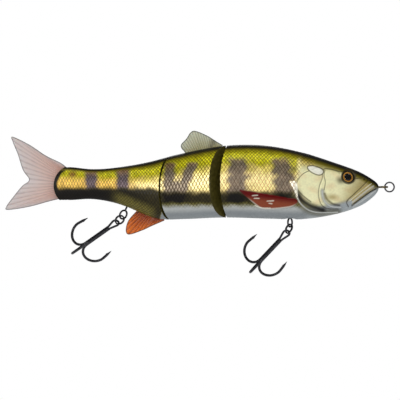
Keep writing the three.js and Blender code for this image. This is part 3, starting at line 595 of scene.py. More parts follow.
front_hook = {
    "origin": Vector((-NOSE_SETBACK - 47.3, 0, float(belly_at(47.3)))),
    "stem": Vector((0, 0, -1)), "drop": 1.7, "dish": 1.2, "hanger_turn": 60,
    "ring_down": Vector((-0.48, 0, -0.88)), "ring_turn": -55,
    "treble_down": Vector((-0.64, 0.34, -0.69)), "eye_turn": 25,
}
rear_hook = {
    "origin": Vector((-18.9, 0, float(belly_at(FRONT_LENGTH + MIDDLE_LENGTH + 18.9)))),
    "stem": Vector((-0.42, 0, -0.91)), "drop": 4.6, "dish": -1, "hanger_turn": 43,
    "ring_down": Vector((-0.8, 0, -0.6)), "ring_turn": -35,
    "treble_down": Vector((-0.77, 0.34, -0.54)), "eye_turn": 30,
}


def hanger_seat(hook):
    """The sleeve's seat, the neck, and the dish in the belly."""
    place = link_frame(hook["origin"], hook["stem"], hook["hanger_turn"])
    top = HEAD_LOW + HANGER_HEAD_HEIGHT + CLEARANCE
    dish_radius = HANGER_LOOP_RADIUS + HANGER_WIRE_RADIUS + 0.7
    solids = [
        prism(circle(SLEEVE_RADIUS + CLEARANCE), SLEEVE_SETBACK - CLEARANCE, top),
        prism(circle(SLEEVE_BORE + CLEARANCE, 32), -2, SLEEVE_SETBACK),
    ]
    if hook["dish"] > 0:
        solids.append(prism(circle(dish_radius), -3, hook["dish"]))
    return [moved(solid, place) for solid in solids]


# ---- body: paint ------------------------------------------------------------------------------
# Sprayed in layers: gold foil, yellow-green shoulders, smoky bars, a black back, a dark lower
# flank over a silver belly, a cream head, and red pectoral fins. A clear coat goes over all.

YELLOW = (0.35, 0.345, 0.005)
GOLD = (0.55, 0.37, 0.075)
PALE_GOLD = (0.92, 0.80, 0.38)
BACK_BLACK = (0.004, 0.003, 0.001)
BACK_OLIVE = (0.13, 0.105, 0.003)
BAR = (0.068, 0.055, 0.085)
BAR_BROWN = (0.2, 0.11, 0.02)
UNDER_BLACK = (0.004, 0.003, 0.002)
UNDER_OLIVE = (0.07, 0.06, 0.012)
SILVER = (0.26, 0.285, 0.3)
# A painted highlight colour: pale silver streaks on the belly, the gill membrane, the cheek band
# and the lips.
SILVER_HIGHLIGHT = (0.6, 0.62, 0.6)
BELLY_OLIVE = (0.16, 0.15, 0.035)
HEAD_CREAM = (0.95, 0.92, 0.56)
HEAD_BLUSH = (0.8, 0.5, 0.24)
HEAD_TAN = (0.36, 0.27, 0.08)
HEAD_BROWN = (0.3, 0.24, 0.006)
FIN_RED = (0.115, 0.0, 0.0)
FIN_PINK = (0.3, 0.07, 0.028)
# Cream paint, also used for painted highlights on the lip ridge, the pectoral fin and the shoulder
# flap.
CREAM = (0.93, 0.92, 0.78)
LINE_DARK = (0.035, 0.025, 0.008)
CHIN_GREY = (0.38, 0.42, 0.44)
NET_TINT = (0.36, 0.2, 0.11)
SCALE_SHINE = (2.3, 2.15, 2.0)


def wobble(back, z, seed):
    """A smooth irregular wave that keeps sprayed edges from being straight."""
    a = np.sin(back * 0.83 + seed * 2.1 + 1.3 * np.sin(z * 0.61 + seed))
    b = np.sin(z * 1.13 + seed * 1.7 + 1.1 * np.sin(back * 0.47 - seed))
    return 0.5 * (a + b)


def over(paint, colour, share):
    return mix(paint, np.array(colour), np.clip(share, 0, 1)[:, None])


def bar_share(back, z):
    """The smoky bars across the flank."""
    w = wobble(back, z, 1)
    high = 1 - step_up(z + w, 11, 17.5)
    bars = bump(back + 1.4 * w, 75.7 - 0.07 * z, 8.2) * high
    bars = np.maximum(bars, bump(back + 1.5 * w, 50.5 + 0.1 * z, 8.2) * high * 0.95)
    front_stroke = bump(back + 0.5 * w, 102.4 - 0.37 * z, 4.6)
    rear_stroke = bump(back + 0.5 * w, 110.6 - 0.02 * z, 4.8)
    joined = bump(back + w, 107, 9.5) * step_up(-z, -7, 0) * 0.8
    middle = np.maximum.reduce([front_stroke, rear_stroke, joined]) * (1 - step_up(z, 11.5, 14))
    bars = np.maximum(bars, middle)
    bars = np.maximum(bars, bump(back + 0.4 * w, 137.2 - 0.05 * z, 5.2) * 0.95)
    bars = np.maximum(bars, bump(back + 0.4 * w, 154.0, 5) * 0.95)
    ragged = np.sin(3.4 * back + 0.7 * w) * np.sin(2.9 * z)
    return np.clip(bars * 1.7 + 0.25 * ragged * bump(bars, 0.45, 0.45), 0, 1)


def paint_at(back, z):
    """The sprayed colour at each place of the flank, with painted highlights and shade, and how
    much the scale net shows.
    """
    top, bottom = back_at(back), belly_at(back)
    below_top = top - z
    over_bottom = z - bottom
    w = wobble(back, z, 3)
    flank = (z - bottom) / np.maximum(top - bottom, 0.1)
    stalk = step_up(back, 116, 140)

    paint = np.tile(np.array(PALE_GOLD), (len(back), 1))
    paint = over(paint, GOLD, 0.55 + 0.45 * stalk)
    paint = over(paint, PALE_GOLD, bump(flank, 0.52, 0.25) * (1 - stalk) * 0.8)
    paint = over(paint, YELLOW, step_up(flank + 0.03 * w, 0.55, 0.8))
    bars = bar_share(back, z)
    brown = np.clip(bars - 0.1, 0, 1) * step_up(flank, 0.7, 0.9)
    paint = over(paint, BAR, bars * mix(0.84, 0.95, stalk))
    paint = over(paint, BAR_BROWN, brown * 0.6)
    blotch = bump(np.hypot(back - 164, (z - 6.8) * 1.2), 0, 3.4)
    paint = over(paint, BAR_BROWN, blotch)

    edge = mix(-2.6, -0.3, step_up(back, 112, 122)) + 0.5 * w
    under = 1 - step_up(z, edge - 2.2, edge + 1.4)
    dark = mix(0.72 + 0.28 * bars, 0.92, stalk)
    near_gill = step_up(back, 40, 52)
    paint = over(paint, UNDER_OLIVE, under * (0.35 + 0.65 * near_gill))
    paint = over(paint, UNDER_BLACK, under * dark * (0.3 + 0.7 * near_gill))

    silver_edge = mix(-10.1, -30, step_up(back, 114, 122)) + 0.4 * w
    silver = 1 - step_up(z, silver_edge - 1.6, silver_edge + 1.4)
    paint = over(paint, BELLY_OLIVE, 1 - step_up(z, silver_edge - 0.5, silver_edge + 2.6))
    paint = over(paint, SILVER, silver)
    # A painted highlight: a pale streak along the silver belly.
    paint = over(paint, SILVER_HIGHLIGHT, silver * bump(over_bottom, 5.6, 3.2) * 0.6)
    rear_low = step_up(back, 118, 124) * (1 - step_up(over_bottom, 3, 8))
    stalk_low = mix(np.array(BELLY_OLIVE), np.array(UNDER_OLIVE), 0.6)
    paint = over(paint, stalk_low, rear_low * (1 - step_up(back, 137, 146)))
    paint = over(paint, UNDER_BLACK, step_up(back, 138, 150) * (1 - step_up(z, -3, 0)))

    end_x = back - (BODY_LENGTH - 11.3)
    end_gap = 11.3 - np.hypot(end_x, z - 0.8)
    at_end = (1 - step_up(end_gap + 0.3 * w, 1.3, 2.5)) * step_up(end_x, 0, 2)
    paint = over(paint, BACK_BLACK, at_end)
    spine_depth = mix(1.0, 0.55, stalk)
    spine = 1 - step_up(below_top + 0.3 * w, 1.4 * spine_depth, 5.2 * spine_depth)
    ridge = 1 - step_up(below_top, 0.9 * spine_depth, 3.1 * spine_depth)

    head = 1 - step_up(back + 0.12 * z + 0.7 * np.maximum(0, -z - 4), 42, 46.5)
    skull = step_up(z - (5.2 + 0.12 * back), -2.5, 3.5)
    mouth_back, mouth_z = np.array(MOUTH_LINE).T
    jaw_top = np.interp(back, [*mouth_back, 18], [*mouth_z, BODY_HEIGHT])
    chin = 1 - step_up(z, bottom + 4, bottom + 7)
    chin = chin * (1 - step_up(z - jaw_top, -0.5, 0.4))
    paint = over(paint, HEAD_CREAM, head * (1 - chin) * (1 - spine))
    blush = np.clip(wobble(back * 0.8, z * 0.9, 5), 0, 1)
    paint = over(paint, HEAD_BLUSH, head * blush * 0.3)
    snout = 1 - step_up(back + 0.5 * z, 9, 22)
    paint = over(paint, HEAD_TAN, head * snout * 0.85)
    paint = over(paint, HEAD_BROWN, head * skull * 0.9)
    nape = head * (1 - step_up(below_top, 2.6, 5.5))
    paint = over(paint, BACK_OLIVE, np.maximum(spine, nape))
    crown = head * (1 - step_up(below_top, 1.2, 3.3))
    paint = over(paint, BACK_BLACK, np.maximum(ridge, crown))
    paint = over(paint, CHIN_GREY, head * chin * (1 - step_up(back, 40, 46)))

    # Lines on the head. The pale silver lines on the membrane, the cheek band and the lips, and the
    # cream line on the lip ridge, are painted highlights.
    for points, colour, reach, strength in (
        (MEMBRANE, UNDER_OLIVE, 3.8, 0.8), (GILL_SHADOW, UNDER_BLACK, 2.9, 0.95),
        (MEMBRANE, SILVER_HIGHLIGHT, 0.55, 0.9), (CHEEK_BAND, SILVER, 2.0, 0.8),
        (CHEEK_SHADOW, LINE_DARK, 1.1, 0.75), (CHEEK_BAND, SILVER_HIGHLIGHT, 0.5, 0.9),
        (LOWER_LIP, CHIN_GREY, 2.6, 1.0), (LOWER_LIP, SILVER_HIGHLIGHT, 0.5, 0.7),
        (UPPER_LIP, SILVER_HIGHLIGHT, 0.8, 0.7), (LIP_RIDGE, CREAM, 0.4, 0.6),
        (SECOND_LINE, LINE_DARK, 0.45, 0.75), (MAXILLA, LINE_DARK, 0.5, 0.8),
        (MOUTH_LINE, LINE_DARK, 0.65, 0.95), (GILL_EDGE, LINE_DARK, 0.45, 0.8),
        (CHEEK_EDGE, LINE_DARK, 0.45, 0.8), (NOSTRIL_LINE, LINE_DARK, 0.5, 0.8),
    ):
        paint = over(paint, colour, on_line(back, z, points, reach) * strength)
    smear = bump(np.hypot((back - 25.4) * 0.5, z + 5.4), 0, 2.8)
    paint = over(paint, HEAD_TAN, smear * 0.7)
    # Painted shade round the eye: a dark patch behind and below it, and a dark ring at the edge of
    # its pocket.
    eye_shade = bump(np.hypot((back - 20.6) * 0.85, z - 3.6), 0, 3.4)
    paint = over(paint, LINE_DARK, eye_shade * 0.8)
    socket = bump(np.hypot(back - EYE_PLACE["back"], z - EYE_PLACE["z"]), EYE_RADIUS + 0.4, 0.9)
    paint = over(paint, LINE_DARK, socket)
    paint = over(paint, LINE_DARK, bump(np.hypot(back - NOSTRIL[0], z - NOSTRIL[1]), 0, 0.9))

    fin_depth = inside(back, z, PECTORAL_FIN)
    fin_fall = -(z + 4.2 + 0.11 * (60 - back))
    fin_low = step_up(fin_fall, 0.6, 4.2)
    red = mix(np.array(FIN_RED), np.array(FIN_PINK), (fin_low * 0.8)[:, None])
    on_fin = step_up(fin_depth, -0.1, 0.25)[:, None]
    paint = mix(paint, red, on_fin)
    # Painted highlights on the pectoral fin: a pale line inside its lower edge and short cream
    # glints.
    lower_rim_highlight = bump(fin_depth, 0.2, 0.45) * step_up(fin_fall, 2, 5)
    paint = over(paint, CREAM, lower_rim_highlight * 0.5)
    for points in FIN_GLINTS:
        paint = over(paint, CREAM, on_line(back, z, points, 0.42) * 0.85)
    blob = inside(back, z, CREAM_BLOB)
    paint = over(paint, LINE_DARK, bump(blob, -0.2, 0.5))
    paint = over(paint, CREAM, step_up(blob, -0.1, 0.3))
    # A painted highlight: cream over the raised flap behind the gill plate.
    paint = over(paint, CREAM, step_up(inside(back, z, HIGHLIT_SHOULDER_FLAP), -0.1, 0.4) * 0.9)

    net = scaled_area(back, z) * (1 - silver) * (1 - 0.2 * under) * (1 - 0.5 * spine)
    foil = (1 - under) * (1 - silver) * (1 - spine) * (1 - 0.75 * head)
    return paint, net, foil * (1 - on_fin[:, 0])


def mottle_group():
    """The fine mottling every finish shares: a noise over the object, and its relief."""
    group = bpy.data.node_groups.new("mottle", "ShaderNodeTree")
    for label, value in (("Scale", 900), ("Detail", 4), ("Depth", 0.00003)):
        socket = group.interface.new_socket(label, in_out="INPUT", socket_type="NodeSocketFloat")
        socket.default_value = value
    group.interface.new_socket("Mottle", in_out="OUTPUT", socket_type="NodeSocketFloat")
    group.interface.new_socket("Normal", in_out="OUTPUT", socket_type="NodeSocketVector")
    inp = group.nodes.new("NodeGroupInput")
    out = group.nodes.new("NodeGroupOutput")
    where = group.nodes.new("ShaderNodeTexCoord")
    noise = group.nodes.new("ShaderNodeTexNoise")
    relief_bump = group.nodes.new("ShaderNodeBump")
    relief_bump.inputs["Strength"].default_value = 0.6
    for start, end in (
        (where.outputs["Object"], noise.inputs["Vector"]),
        (inp.outputs["Scale"], noise.inputs["Scale"]),
        (inp.outputs["Detail"], noise.inputs["Detail"]),
        (inp.outputs["Depth"], relief_bump.inputs["Distance"]),
        (noise.outputs[0], relief_bump.inputs["Height"]),
        (noise.outputs[0], out.inputs["Mottle"]),
        (relief_bump.outputs[0], out.inputs["Normal"]),
    ):
        group.links.new(start, end)
    return group


mottle = mottle_group()


def set_inputs(node, values):
    for label, value in values.items():
        node.inputs[label].default_value = value


def mottled(nodes, scale, detail, depth=0.0):
    """The shared mottling in one material, at its own scale."""
    node = nodes.new("ShaderNodeGroup")
    node.node_tree = mottle
    set_inputs(node, {"Scale": scale, "Detail": detail, "Depth": depth})
    return node


def new_look(name):
    """A material, its nodes and links, and its shader."""
    look = bpy.data.materials.new(name)
    look.use_nodes = True
    nodes = look.node_tree.nodes
    return look, nodes, look.node_tree.links, nodes["Principled BSDF"]


def feed(links, socket, value):
    """Gives a socket another one's output, or a plain value."""
    if hasattr(value, "links"):
        links.new(value, socket)
    elif isinstance(value, tuple):
        socket.default_value = (*value, 1)
    else:
        socket.default_value = value


def node_makers(nodes, links):
    """Short ways to add an attribute, a sum, a smooth step and a colour blend."""
    def attribute(name):
        node = nodes.new("ShaderNodeAttribute")
        node.attribute_name = name
        return node

    def maths(operation, *values, clamp=False):
        node = nodes.new("ShaderNodeMath")
        node.operation = operation
        node.use_clamp = clamp
        for socket, value in zip(node.inputs, values):
            feed(links, socket, value)
        return node.outputs[0]

    def smooth_step(value, low, high, at_low=0.0, at_high=1.0):
        node = nodes.new("ShaderNodeMapRange")
        node.interpolation_type = "SMOOTHSTEP"
        set_inputs(node, {"From Min": low, "From Max": high, "To Min": at_low, "To Max": at_high})
        links.new(value, node.inputs["Value"])
        return node.outputs[0]

    def blend(share, a, b, kind="MIX"):
        node = nodes.new("ShaderNodeMix")
        node.data_type = "RGBA"
        node.blend_type = kind
        for socket, value in zip((node.inputs[0], node.inputs[6], node.inputs[7]), (share, a, b)):
            feed(links, socket, value)
        return node.outputs[2]

    return attribute, maths, smooth_step, blend


def uv_axes(nodes, links, name):
    """A layer of places on the surface: the pair, and its two parts."""
    layer = nodes.new("ShaderNodeUVMap")
    layer.uv_map = name
    split = nodes.new("ShaderNodeSeparateXYZ")
    links.new(layer.outputs[0], split.inputs[0])
    return layer.outputs[0], split.outputs[0], split.outputs[1]


def raise_surface(nodes, links, shader, height, depth):
    """Gives a finish its relief from a height."""
    relief_bump = nodes.new("ShaderNodeBump")
    set_inputs(relief_bump, {"Strength": 0.5, "Distance": depth})
    links.new(height, relief_bump.inputs["Height"])
    links.new(relief_bump.outputs[0], shader.inputs["Normal"])


def colour_ramp(nodes, links, value, stops):
    """Colours by a value, from (position, colour) pairs."""
    ramp = nodes.new("ShaderNodeValToRGB")
    elements = ramp.color_ramp.elements
    for element, (position, colour) in zip(elements, (stops[0], stops[-1])):
        element.position = position
        element.color = (*colour, 1)
    for position, colour in stops[1:-1]:
        elements.new(position).color = (*colour, 1)
    links.new(value, ramp.inputs[0])
    return ramp.outputs[0]


def painted_shell():
    """The clear-coated paint: sprayed colour, the dark net between scales, a painted highlight in
    each scale, and foil sparkle.
    """
    look, nodes, links, shader = new_look("painted_shell")
    attribute, maths, smooth_step, blend = node_makers(nodes, links)
    set_inputs(shader, {"Coat Weight": 0.12, "Coat Roughness": 0.05, "Specular IOR Level": 0.1})

    paint = attribute("paint").outputs["Color"]
    net = attribute("net").outputs["Fac"]
    foil = attribute("foil").outputs["Fac"]
    lattice, along, across = uv_axes(nodes, links, "scales")
    p = maths("FRACT", maths("ADD", along, across))
    q = maths("FRACT", maths("SUBTRACT", along, across))
    edge = maths("MAXIMUM", p, q)
    line = smooth_step(edge, 0.7, 0.93)
    cell = nodes.new("ShaderNodeTexVoronoi")
    cell.inputs["Scale"].default_value = 1.0
    links.new(lattice, cell.inputs["Vector"])
    grain = mottled(nodes, 900, 4)
    cloud = mottled(nodes, 120, 2)

    net_share = maths("MULTIPLY", line, net)
    patchy = maths("MULTIPLY_ADD", cloud.outputs[0], 0.9, 0.35)
    net_share = maths("MULTIPLY", net_share, patchy)
    darker = blend(1.0, paint, NET_TINT, "MULTIPLY")
    lined = blend(net_share, paint, darker)
    # A painted highlight in each scale, brightest away from the net.
    shine = maths("MULTIPLY", maths("SUBTRACT", 1.0, line), net)
    shine = maths("MULTIPLY", shine, cell.outputs["Distance"], clamp=True)
    lit = blend(shine, lined, SCALE_SHINE, "MULTIPLY")
    speckled = maths("MULTIPLY_ADD", grain.outputs[0], 0.5, 0.75)
    grey = nodes.new("ShaderNodeCombineColor")
    for socket in grey.inputs[:3]:
        links.new(speckled, socket)
    colour = blend(0.6, lit, grey.outputs[0], "MULTIPLY")
    links.new(colour, shader.inputs["Base Color"])
    links.new(maths("MULTIPLY", foil, 0.35), shader.inputs["Metallic"])
    rough = maths("MULTIPLY_ADD", grain.outputs[0], 0.2, 0.24)
    links.new(rough, shader.inputs["Roughness"])
    height = maths("SUBTRACT", maths("MULTIPLY", grain.outputs[0], 0.12), net_share)
    raise_surface(nodes, links, shader, height, 0.00006)
    return look


def speckled_look(name, colour, second, roughness, metallic, scale, coat=0.0, bump_depth=0.00003):
    """A finish with fine mottling in colour, roughness and relief."""
    look, nodes, links, shader = new_look(name)
    set_inputs(shader, {"Metallic": metallic, "Coat Weight": coat})
    noise = mottled(nodes, scale, 5, bump_depth)
    mixed = colour_ramp(nodes, links, noise.outputs[0], [(0.35, colour), (0.7, second)])
    links.new(mixed, shader.inputs["Base Color"])
    rough = nodes.new("ShaderNodeMapRange")
    set_inputs(rough, {"To Min": roughness * 0.75, "To Max": roughness * 1.3})
    links.new(noise.outputs[0], rough.inputs["Value"])
    links.new(rough.outputs[0], shader.inputs["Roughness"])
    if bump_depth:
        links.new(noise.outputs["Normal"], shader.inputs["Normal"])
    return look


shell_look = painted_shell()
joint_look = speckled_look(
    "joint_face_olive", (0.045, 0.037, 0.004), (0.085, 0.07, 0.01), 0.42, 0.0, 600, coat=0.3,
)


def point_layer(mesh, label, values):
    layer = mesh.attributes.new(label, "FLOAT", "POINT")
    layer.data.foreach_set("value", np.asarray(values, np.float32))


def place_layer(mesh, label, pairs):
    """A pair of numbers at each point, kept on the corners of the faces."""
    corners = np.empty(len(mesh.loops), int)
    mesh.loops.foreach_get("vertex_index", corners)
    layer = mesh.uv_layers.new(name=label)
    layer.uv.foreach_set("vector", pairs[corners].astype(np.float32).ravel())


def shell_half(section, side_name, side, spec):
    """Builds one half shell, cuts its openings, paints it and puts it on its body."""
    name = f"{section}_shell_{side_name}_skin"
    origin_back = spec["origin_back"]
    solid = half_skin(spec["first"], spec["last"], origin_back, side)
    piece = mesh_object(name, *solid, [shell_look])
    outward_faces(piece.data)
    for solid in spec["keep"]:
        cut(piece, solid, joint_look, keep_inside=True)
    for solid in spec["lose"]:
        cut(piece, solid, joint_look)
    mesh = piece.data
    count = len(mesh.vertices)
    at = np.empty(count * 3)
    mesh.vertices.foreach_get("co", at)
    at = at.reshape(-1, 3)
    back, z = origin_back - at[:, 0], at[:, 2]
    paint, net, foil = paint_at(back, z)
    colour = mesh.attributes.new("paint", "FLOAT_COLOR", "POINT")
    colour.data.foreach_set("color", np.c_[paint, np.ones(count)].astype(np.float32).ravel())
    point_layer(mesh, "net", net)
    point_layer(mesh, "foil", foil)
    top, bottom, half_width = back_at(back), belly_at(back), half_width_at(back)
    up = np.clip((z - (top + bottom) / 2) / ((top - bottom) / 2), -1, 1)
    out = np.clip(np.abs(at[:, 1]) / np.maximum(half_width, 0.1), 0, 1)
    turn = np.arctan2(
        np.sign(up) * np.abs(up) ** (SECTION_POWER / 2), out ** (SECTION_POWER / 2) + 1e-6
    )
    along, across = scale_lattice(back, turn, ((top - bottom) / 2 + half_width) / 2)
    place_layer(mesh, "scales", np.c_[along, across])
    mesh.shade_smooth()
    mesh.set_sharp_from_angle(angle=math.radians(50))
    mesh.transform(spec["place"] @ Matrix.Scale(MM, 4))
    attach(piece, f"{section}_section")
    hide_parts(f"{section}_shell_{side_name}")


tie_room = [
    prism(
        circle(TIE_LOOP_RADIUS + TIE_WIRE_RADIUS + CLEARANCE),
        -TIE_WIRE_RADIUS - CLEARANCE,
        TIE_WIRE_RADIUS + CLEARANCE,
    ),
    lengthwise(TIE_WIRE_RADIUS + CLEARANCE, -TIE_SHANK_LENGTH - CLEARANCE, 0.1, 0),
]
eye_pockets = [
    moved(prism(circle(EYE_RADIUS + CLEARANCE, 64), -EYE_POCKET_DEPTH, 4), eye_frame(side))
    for side in (-1, 1)
]
to_front_hinge = Matrix.Translation((-NOSE_SETBACK - FRONT_LENGTH, 0, 0))
front_spec = {
    "origin_back": -NOSE_SETBACK,
    "first": 0,
    "last": FRONT_LENGTH + 4,
    "keep": [],
    "lose": [
        loft(25, FRONT_LENGTH - CUP_DEPTH - 3, -NOSE_SETBACK, CAVITY_WALL),
        moved(behind_cup(front_joint), to_front_hinge),
        *shank_holes(front_joint, -NOSE_SETBACK - FRONT_LENGTH),
        *tie_room,
        *eye_pockets,
        *hanger_seat(front_hook),
    ],
    "place": Matrix.Identity(4),
}

# The middle section's fin tab and the rear section's fin tab and tail fin sit in slots.
FIN_THICKNESS = 0.8
FIN_EDGE_THICKNESS = 0.32
TAIL_THICKNESS = 1.2
TAIL_EDGE_THICKNESS = 0.4
FIN_TAB_DEPTH = 3
TAIL_SEAT = 8
STALK_END_RADIUS = 11.3
STALK_END_HEIGHT = 0.8


def tab_slot(front, rear, root, down):
    """The slot of a fin's tab between two places, from the skin inwards."""
    inward = FIN_TAB_DEPTH + CLEARANCE
    outline = [
        (front + CLEARANCE, root(front) - down * 1.3),
        (front + CLEARANCE, root(front) + down * inward),
        (rear - CLEARANCE, root(rear) + down * inward),
        (rear - CLEARANCE, root(rear) - down * 1.3),
    ]
    half = FIN_THICKNESS / 2 + CLEARANCE
    return prism(outline, -half, half, axis="y")


def dorsal_root(x):
    return float(back_at(FRONT_LENGTH - x))


def anal_root(x):
    return float(belly_at(rear_back - x))


to_rear_hinge = Matrix.Translation((-MIDDLE_LENGTH, 0, 0))
place_middle = Matrix.Translation(front_hinge) @ Matrix.Rotation(MIDDLE_YAW, 4, "Z")
place_rear = Matrix.Translation(rear_hinge)
rear_back = FRONT_LENGTH + MIDDLE_LENGTH
middle_spec = {
    "origin_back": FRONT_LENGTH,
    "first": FRONT_LENGTH - 8,
    "last": rear_back + 4,
    "keep": [behind_wedge(front_joint)],
    "lose": [
        loft(FRONT_LENGTH + 6.5, rear_back - CUP_DEPTH - 3, FRONT_LENGTH, CAVITY_WALL),
        *nose_slots(front_joint),
        moved(behind_cup(rear_joint), to_rear_hinge),
        *shank_holes(rear_joint, -MIDDLE_LENGTH),
        tab_slot(-3, -16.5, dorsal_root, -1),
    ],
    "place": place_middle,
}


def stalk_end():
    """The outline that rounds the end of the tail stalk, seen from the side."""
    centre = STALK_END_RADIUS - REAR_LENGTH
    half_turn = (math.pi / 2, 1.5 * math.pi)
    end = arc(STALK_END_RADIUS, *half_turn, 60, centre, STALK_END_HEIGHT)
    high, low = BODY_HEIGHT, -BODY_HEIGHT
    shape = [(high, high), (centre, high), *end, (centre, low), (high, low)]
    return prism(shape, -BODY_WIDTH, BODY_WIDTH, axis="y")


tail_root = TAIL_SEAT - REAR_LENGTH
half_tail_slot = TAIL_THICKNESS / 2 + CLEARANCE
tail_slot = prism(
    [(tail_root + CLEARANCE, -40), (tail_root + CLEARANCE, 40), (-FAR, 40), (-FAR, -40)],
    -half_tail_slot, half_tail_slot, axis="y",
)
rear_spec = {
    "origin_back": rear_back,
    "first": rear_back - 6,
    "last": BODY_LENGTH + 2,
    "keep": [behind_wedge(rear_joint), stalk_end()],
    "lose": [
        loft(rear_back + 7, rear_back + 38, rear_back, CAVITY_WALL),
        *nose_slots(rear_joint),
        tab_slot(-3.6, -12, anal_root, 1),
        tail_slot,
        *hanger_seat(rear_hook),
    ],
    "place": place_rear,
}

for section, spec in (("front", front_spec), ("middle", middle_spec), ("rear", rear_spec)):
    for side_name, side in (("right", -1), ("left", 1)):
        shell_half(section, side_name, side, spec)

# ---- eyes -------------------------------------------------------------------------------------
# A printed gold iris with a black pupil is glued in the bottom of the pocket, and a clear
# domed lens stands over it.


def lathe(profile, count):
    """A closed solid turned about Z from (radius, height) pairs that start and end on the axis."""
    turn = np.linspace(0, 2 * math.pi, count, endpoint=False)
    verts = [(0, 0, profile[0][1])]
    for radius, height in profile[1:-1]:
        verts.extend((radius * math.cos(t), radius * math.sin(t), height) for t in turn)
    verts.append((0, 0, profile[-1][1]))
    rings = len(profile) - 2
    faces = grid_faces(rings, count, first=1)
    for k in range(count):
        after = (k + 1) % count
        faces.append((0, 1 + after, 1 + k))
        last = 1 + (rings - 1) * count
        faces.append((len(verts) - 1, last + k, last + after))
    return np.array(verts, float), faces


def put(piece, place, body, slot, *nodes, sharp=40):
    """Places a finished piece, in millimetres until now, on its body."""
    outward_faces(piece.data)
    piece.data.shade_smooth()
    piece.data.set_sharp_from_angle(angle=math.radians(sharp))
    piece.data.transform(place @ Matrix.Scale(MM, 4))
    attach(piece, body)
    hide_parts(*nodes)


def in_metres(matrix):
    """A placing in millimetres as one in metres."""
    placed = matrix.copy()
    placed.translation = matrix.translation * MM
    return placed


def ring_coloured(name, stops, roughness, coat):
    """A look whose colour runs out from the middle of a disc, from the attribute out."""
    look, nodes, links, shader = new_look(name)
    attribute, maths, _, _ = node_makers(nodes, links)
    set_inputs(shader, {"Roughness": roughness, "Coat Weight": coat, "Specular IOR Level": 0.1})
    noise = mottled(nodes, 1800, 2)
    ragged = maths("MULTIPLY_ADD", noise.outputs[0], 0.07, attribute("out").outputs["Fac"])
    ringed = colour_ramp(nodes, links, ragged, stops)
    links.new(ringed, shader.inputs["Base Color"])
    return look


iris_look = ring_coloured(
    "printed_iris",
    [
        (0.0, (0.001, 0.001, 0.001)), (0.66, (0.002, 0.002, 0.002)), (0.7, (0.8, 0.3, 0.02)),
        (0.85, (0.6, 0.32, 0.05)), (0.92, (0.12, 0.07, 0.015)), (0.97, (0.015, 0.012, 0.01)),
    ],
    0.45, 0.0,
)
lens_look = speckled_look(
    "clear_lens", (0.01, 0.01, 0.01), (0.02, 0.02, 0.018), 0.04, 0.0, 300, coat=1.0, bump_depth=0,
)
lens_look.node_tree.nodes["Principled BSDF"].inputs["Alpha"].default_value = 0.12
EYE_DOME = 1.5
IRIS_THICKNESS = 0.6
iris_low = CLEARANCE - EYE_POCKET_DEPTH
iris_high = iris_low + IRIS_THICKNESS
lens_base = iris_high + CLEARANCE
dome_radius = (EYE_RADIUS**2 + EYE_DOME**2) / (2 * EYE_DOME)
rim_angle = math.asin(EYE_RADIUS / dome_radius)
for side_name, side in (("right", -1), ("left", 1)):
    iris_profile = [(0, iris_low), (EYE_RADIUS - 0.1, iris_low), (EYE_RADIUS, iris_low + 0.1)]
    iris_profile += [(EYE_RADIUS, iris_high - 0.05), (EYE_RADIUS * 0.98, iris_high)]
    iris_profile += [(EYE_RADIUS * share, iris_high - 0.12) for share in (0.9, 0.75, 0.66)]
    iris_profile += [(EYE_RADIUS * share, iris_high - 0.02) for share in (0.62, 0.4, 0.15)]
    iris_profile.append((0, iris_high))
    iris = mesh_object(f"{side_name}_iris_disc", *lathe(iris_profile, 64), [iris_look])
    reach = [math.hypot(v.co.x, v.co.y) / EYE_RADIUS for v in iris.data.vertices]
    point_layer(iris.data, "out", reach)
    put(iris, in_metres(eye_frame(side)), "front_section", "eye_iris", f"{side_name}_eye_iris")
    lens_profile = [(0, lens_base), (EYE_RADIUS - 0.08, lens_base), (EYE_RADIUS, lens_base + 0.08)]
    for i in range(16):
        angle = rim_angle * (1 - i / 16)
        height = dome_radius * math.cos(angle) - (dome_radius - EYE_DOME)
        lens_profile.append((dome_radius * math.sin(angle), lens_base + 0.3 + height))
    lens_profile.append((0, lens_base + 0.3 + EYE_DOME))
    lens = mesh_object(f"{side_name}_lens_dome", *lathe(lens_profile, 64), [lens_look])
    put(lens, in_metres(eye_frame(side)), "front_section", "eye_lens", f"{side_name}_eye_lens")

# ---- wire parts: one way of making them --------------------------------------------------------
# Every eye, hanger and hook is round wire bent to shape. The path carries the wire's radius,
# which tapers at a point, and the tree sweeps a round section along it.


def new_tree(name, sockets):
    """A geometry tree with a geometry in and out and named inputs."""
    tree = bpy.data.node_groups.new(name, "GeometryNodeTree")
    tree.interface.new_socket("Geometry", in_out="INPUT", socket_type="NodeSocketGeometry")
    for label, kind, value in sockets:
        socket = tree.interface.new_socket(label, in_out="INPUT", socket_type=kind)
        if value is not None:
            socket.default_value = value
    tree.interface.new_socket("Geometry", in_out="OUTPUT", socket_type="NodeSocketGeometry")
    return tree, tree.nodes.new("NodeGroupInput"), tree.nodes.new("NodeGroupOutput")


def join_nodes(tree, pairs):
    for start, end in pairs:
        tree.links.new(start, end)


def finish_tree(tree, geometry, look_socket, out):
    """The end of each tree: instances made real, faces smooth, one finish."""
    real = tree.nodes.new("GeometryNodeRealizeInstances")
    smooth = tree.nodes.new("GeometryNodeSetShadeSmooth")
    finish = tree.nodes.new("GeometryNodeSetMaterial")
    join_nodes(tree, [
        (geometry, real.inputs[0]), (real.outputs[0], smooth.inputs[0]),
        (smooth.outputs[0], finish.inputs[0]), (look_socket, finish.inputs["Material"]),
        (finish.outputs[0], out.inputs[0]),
    ])


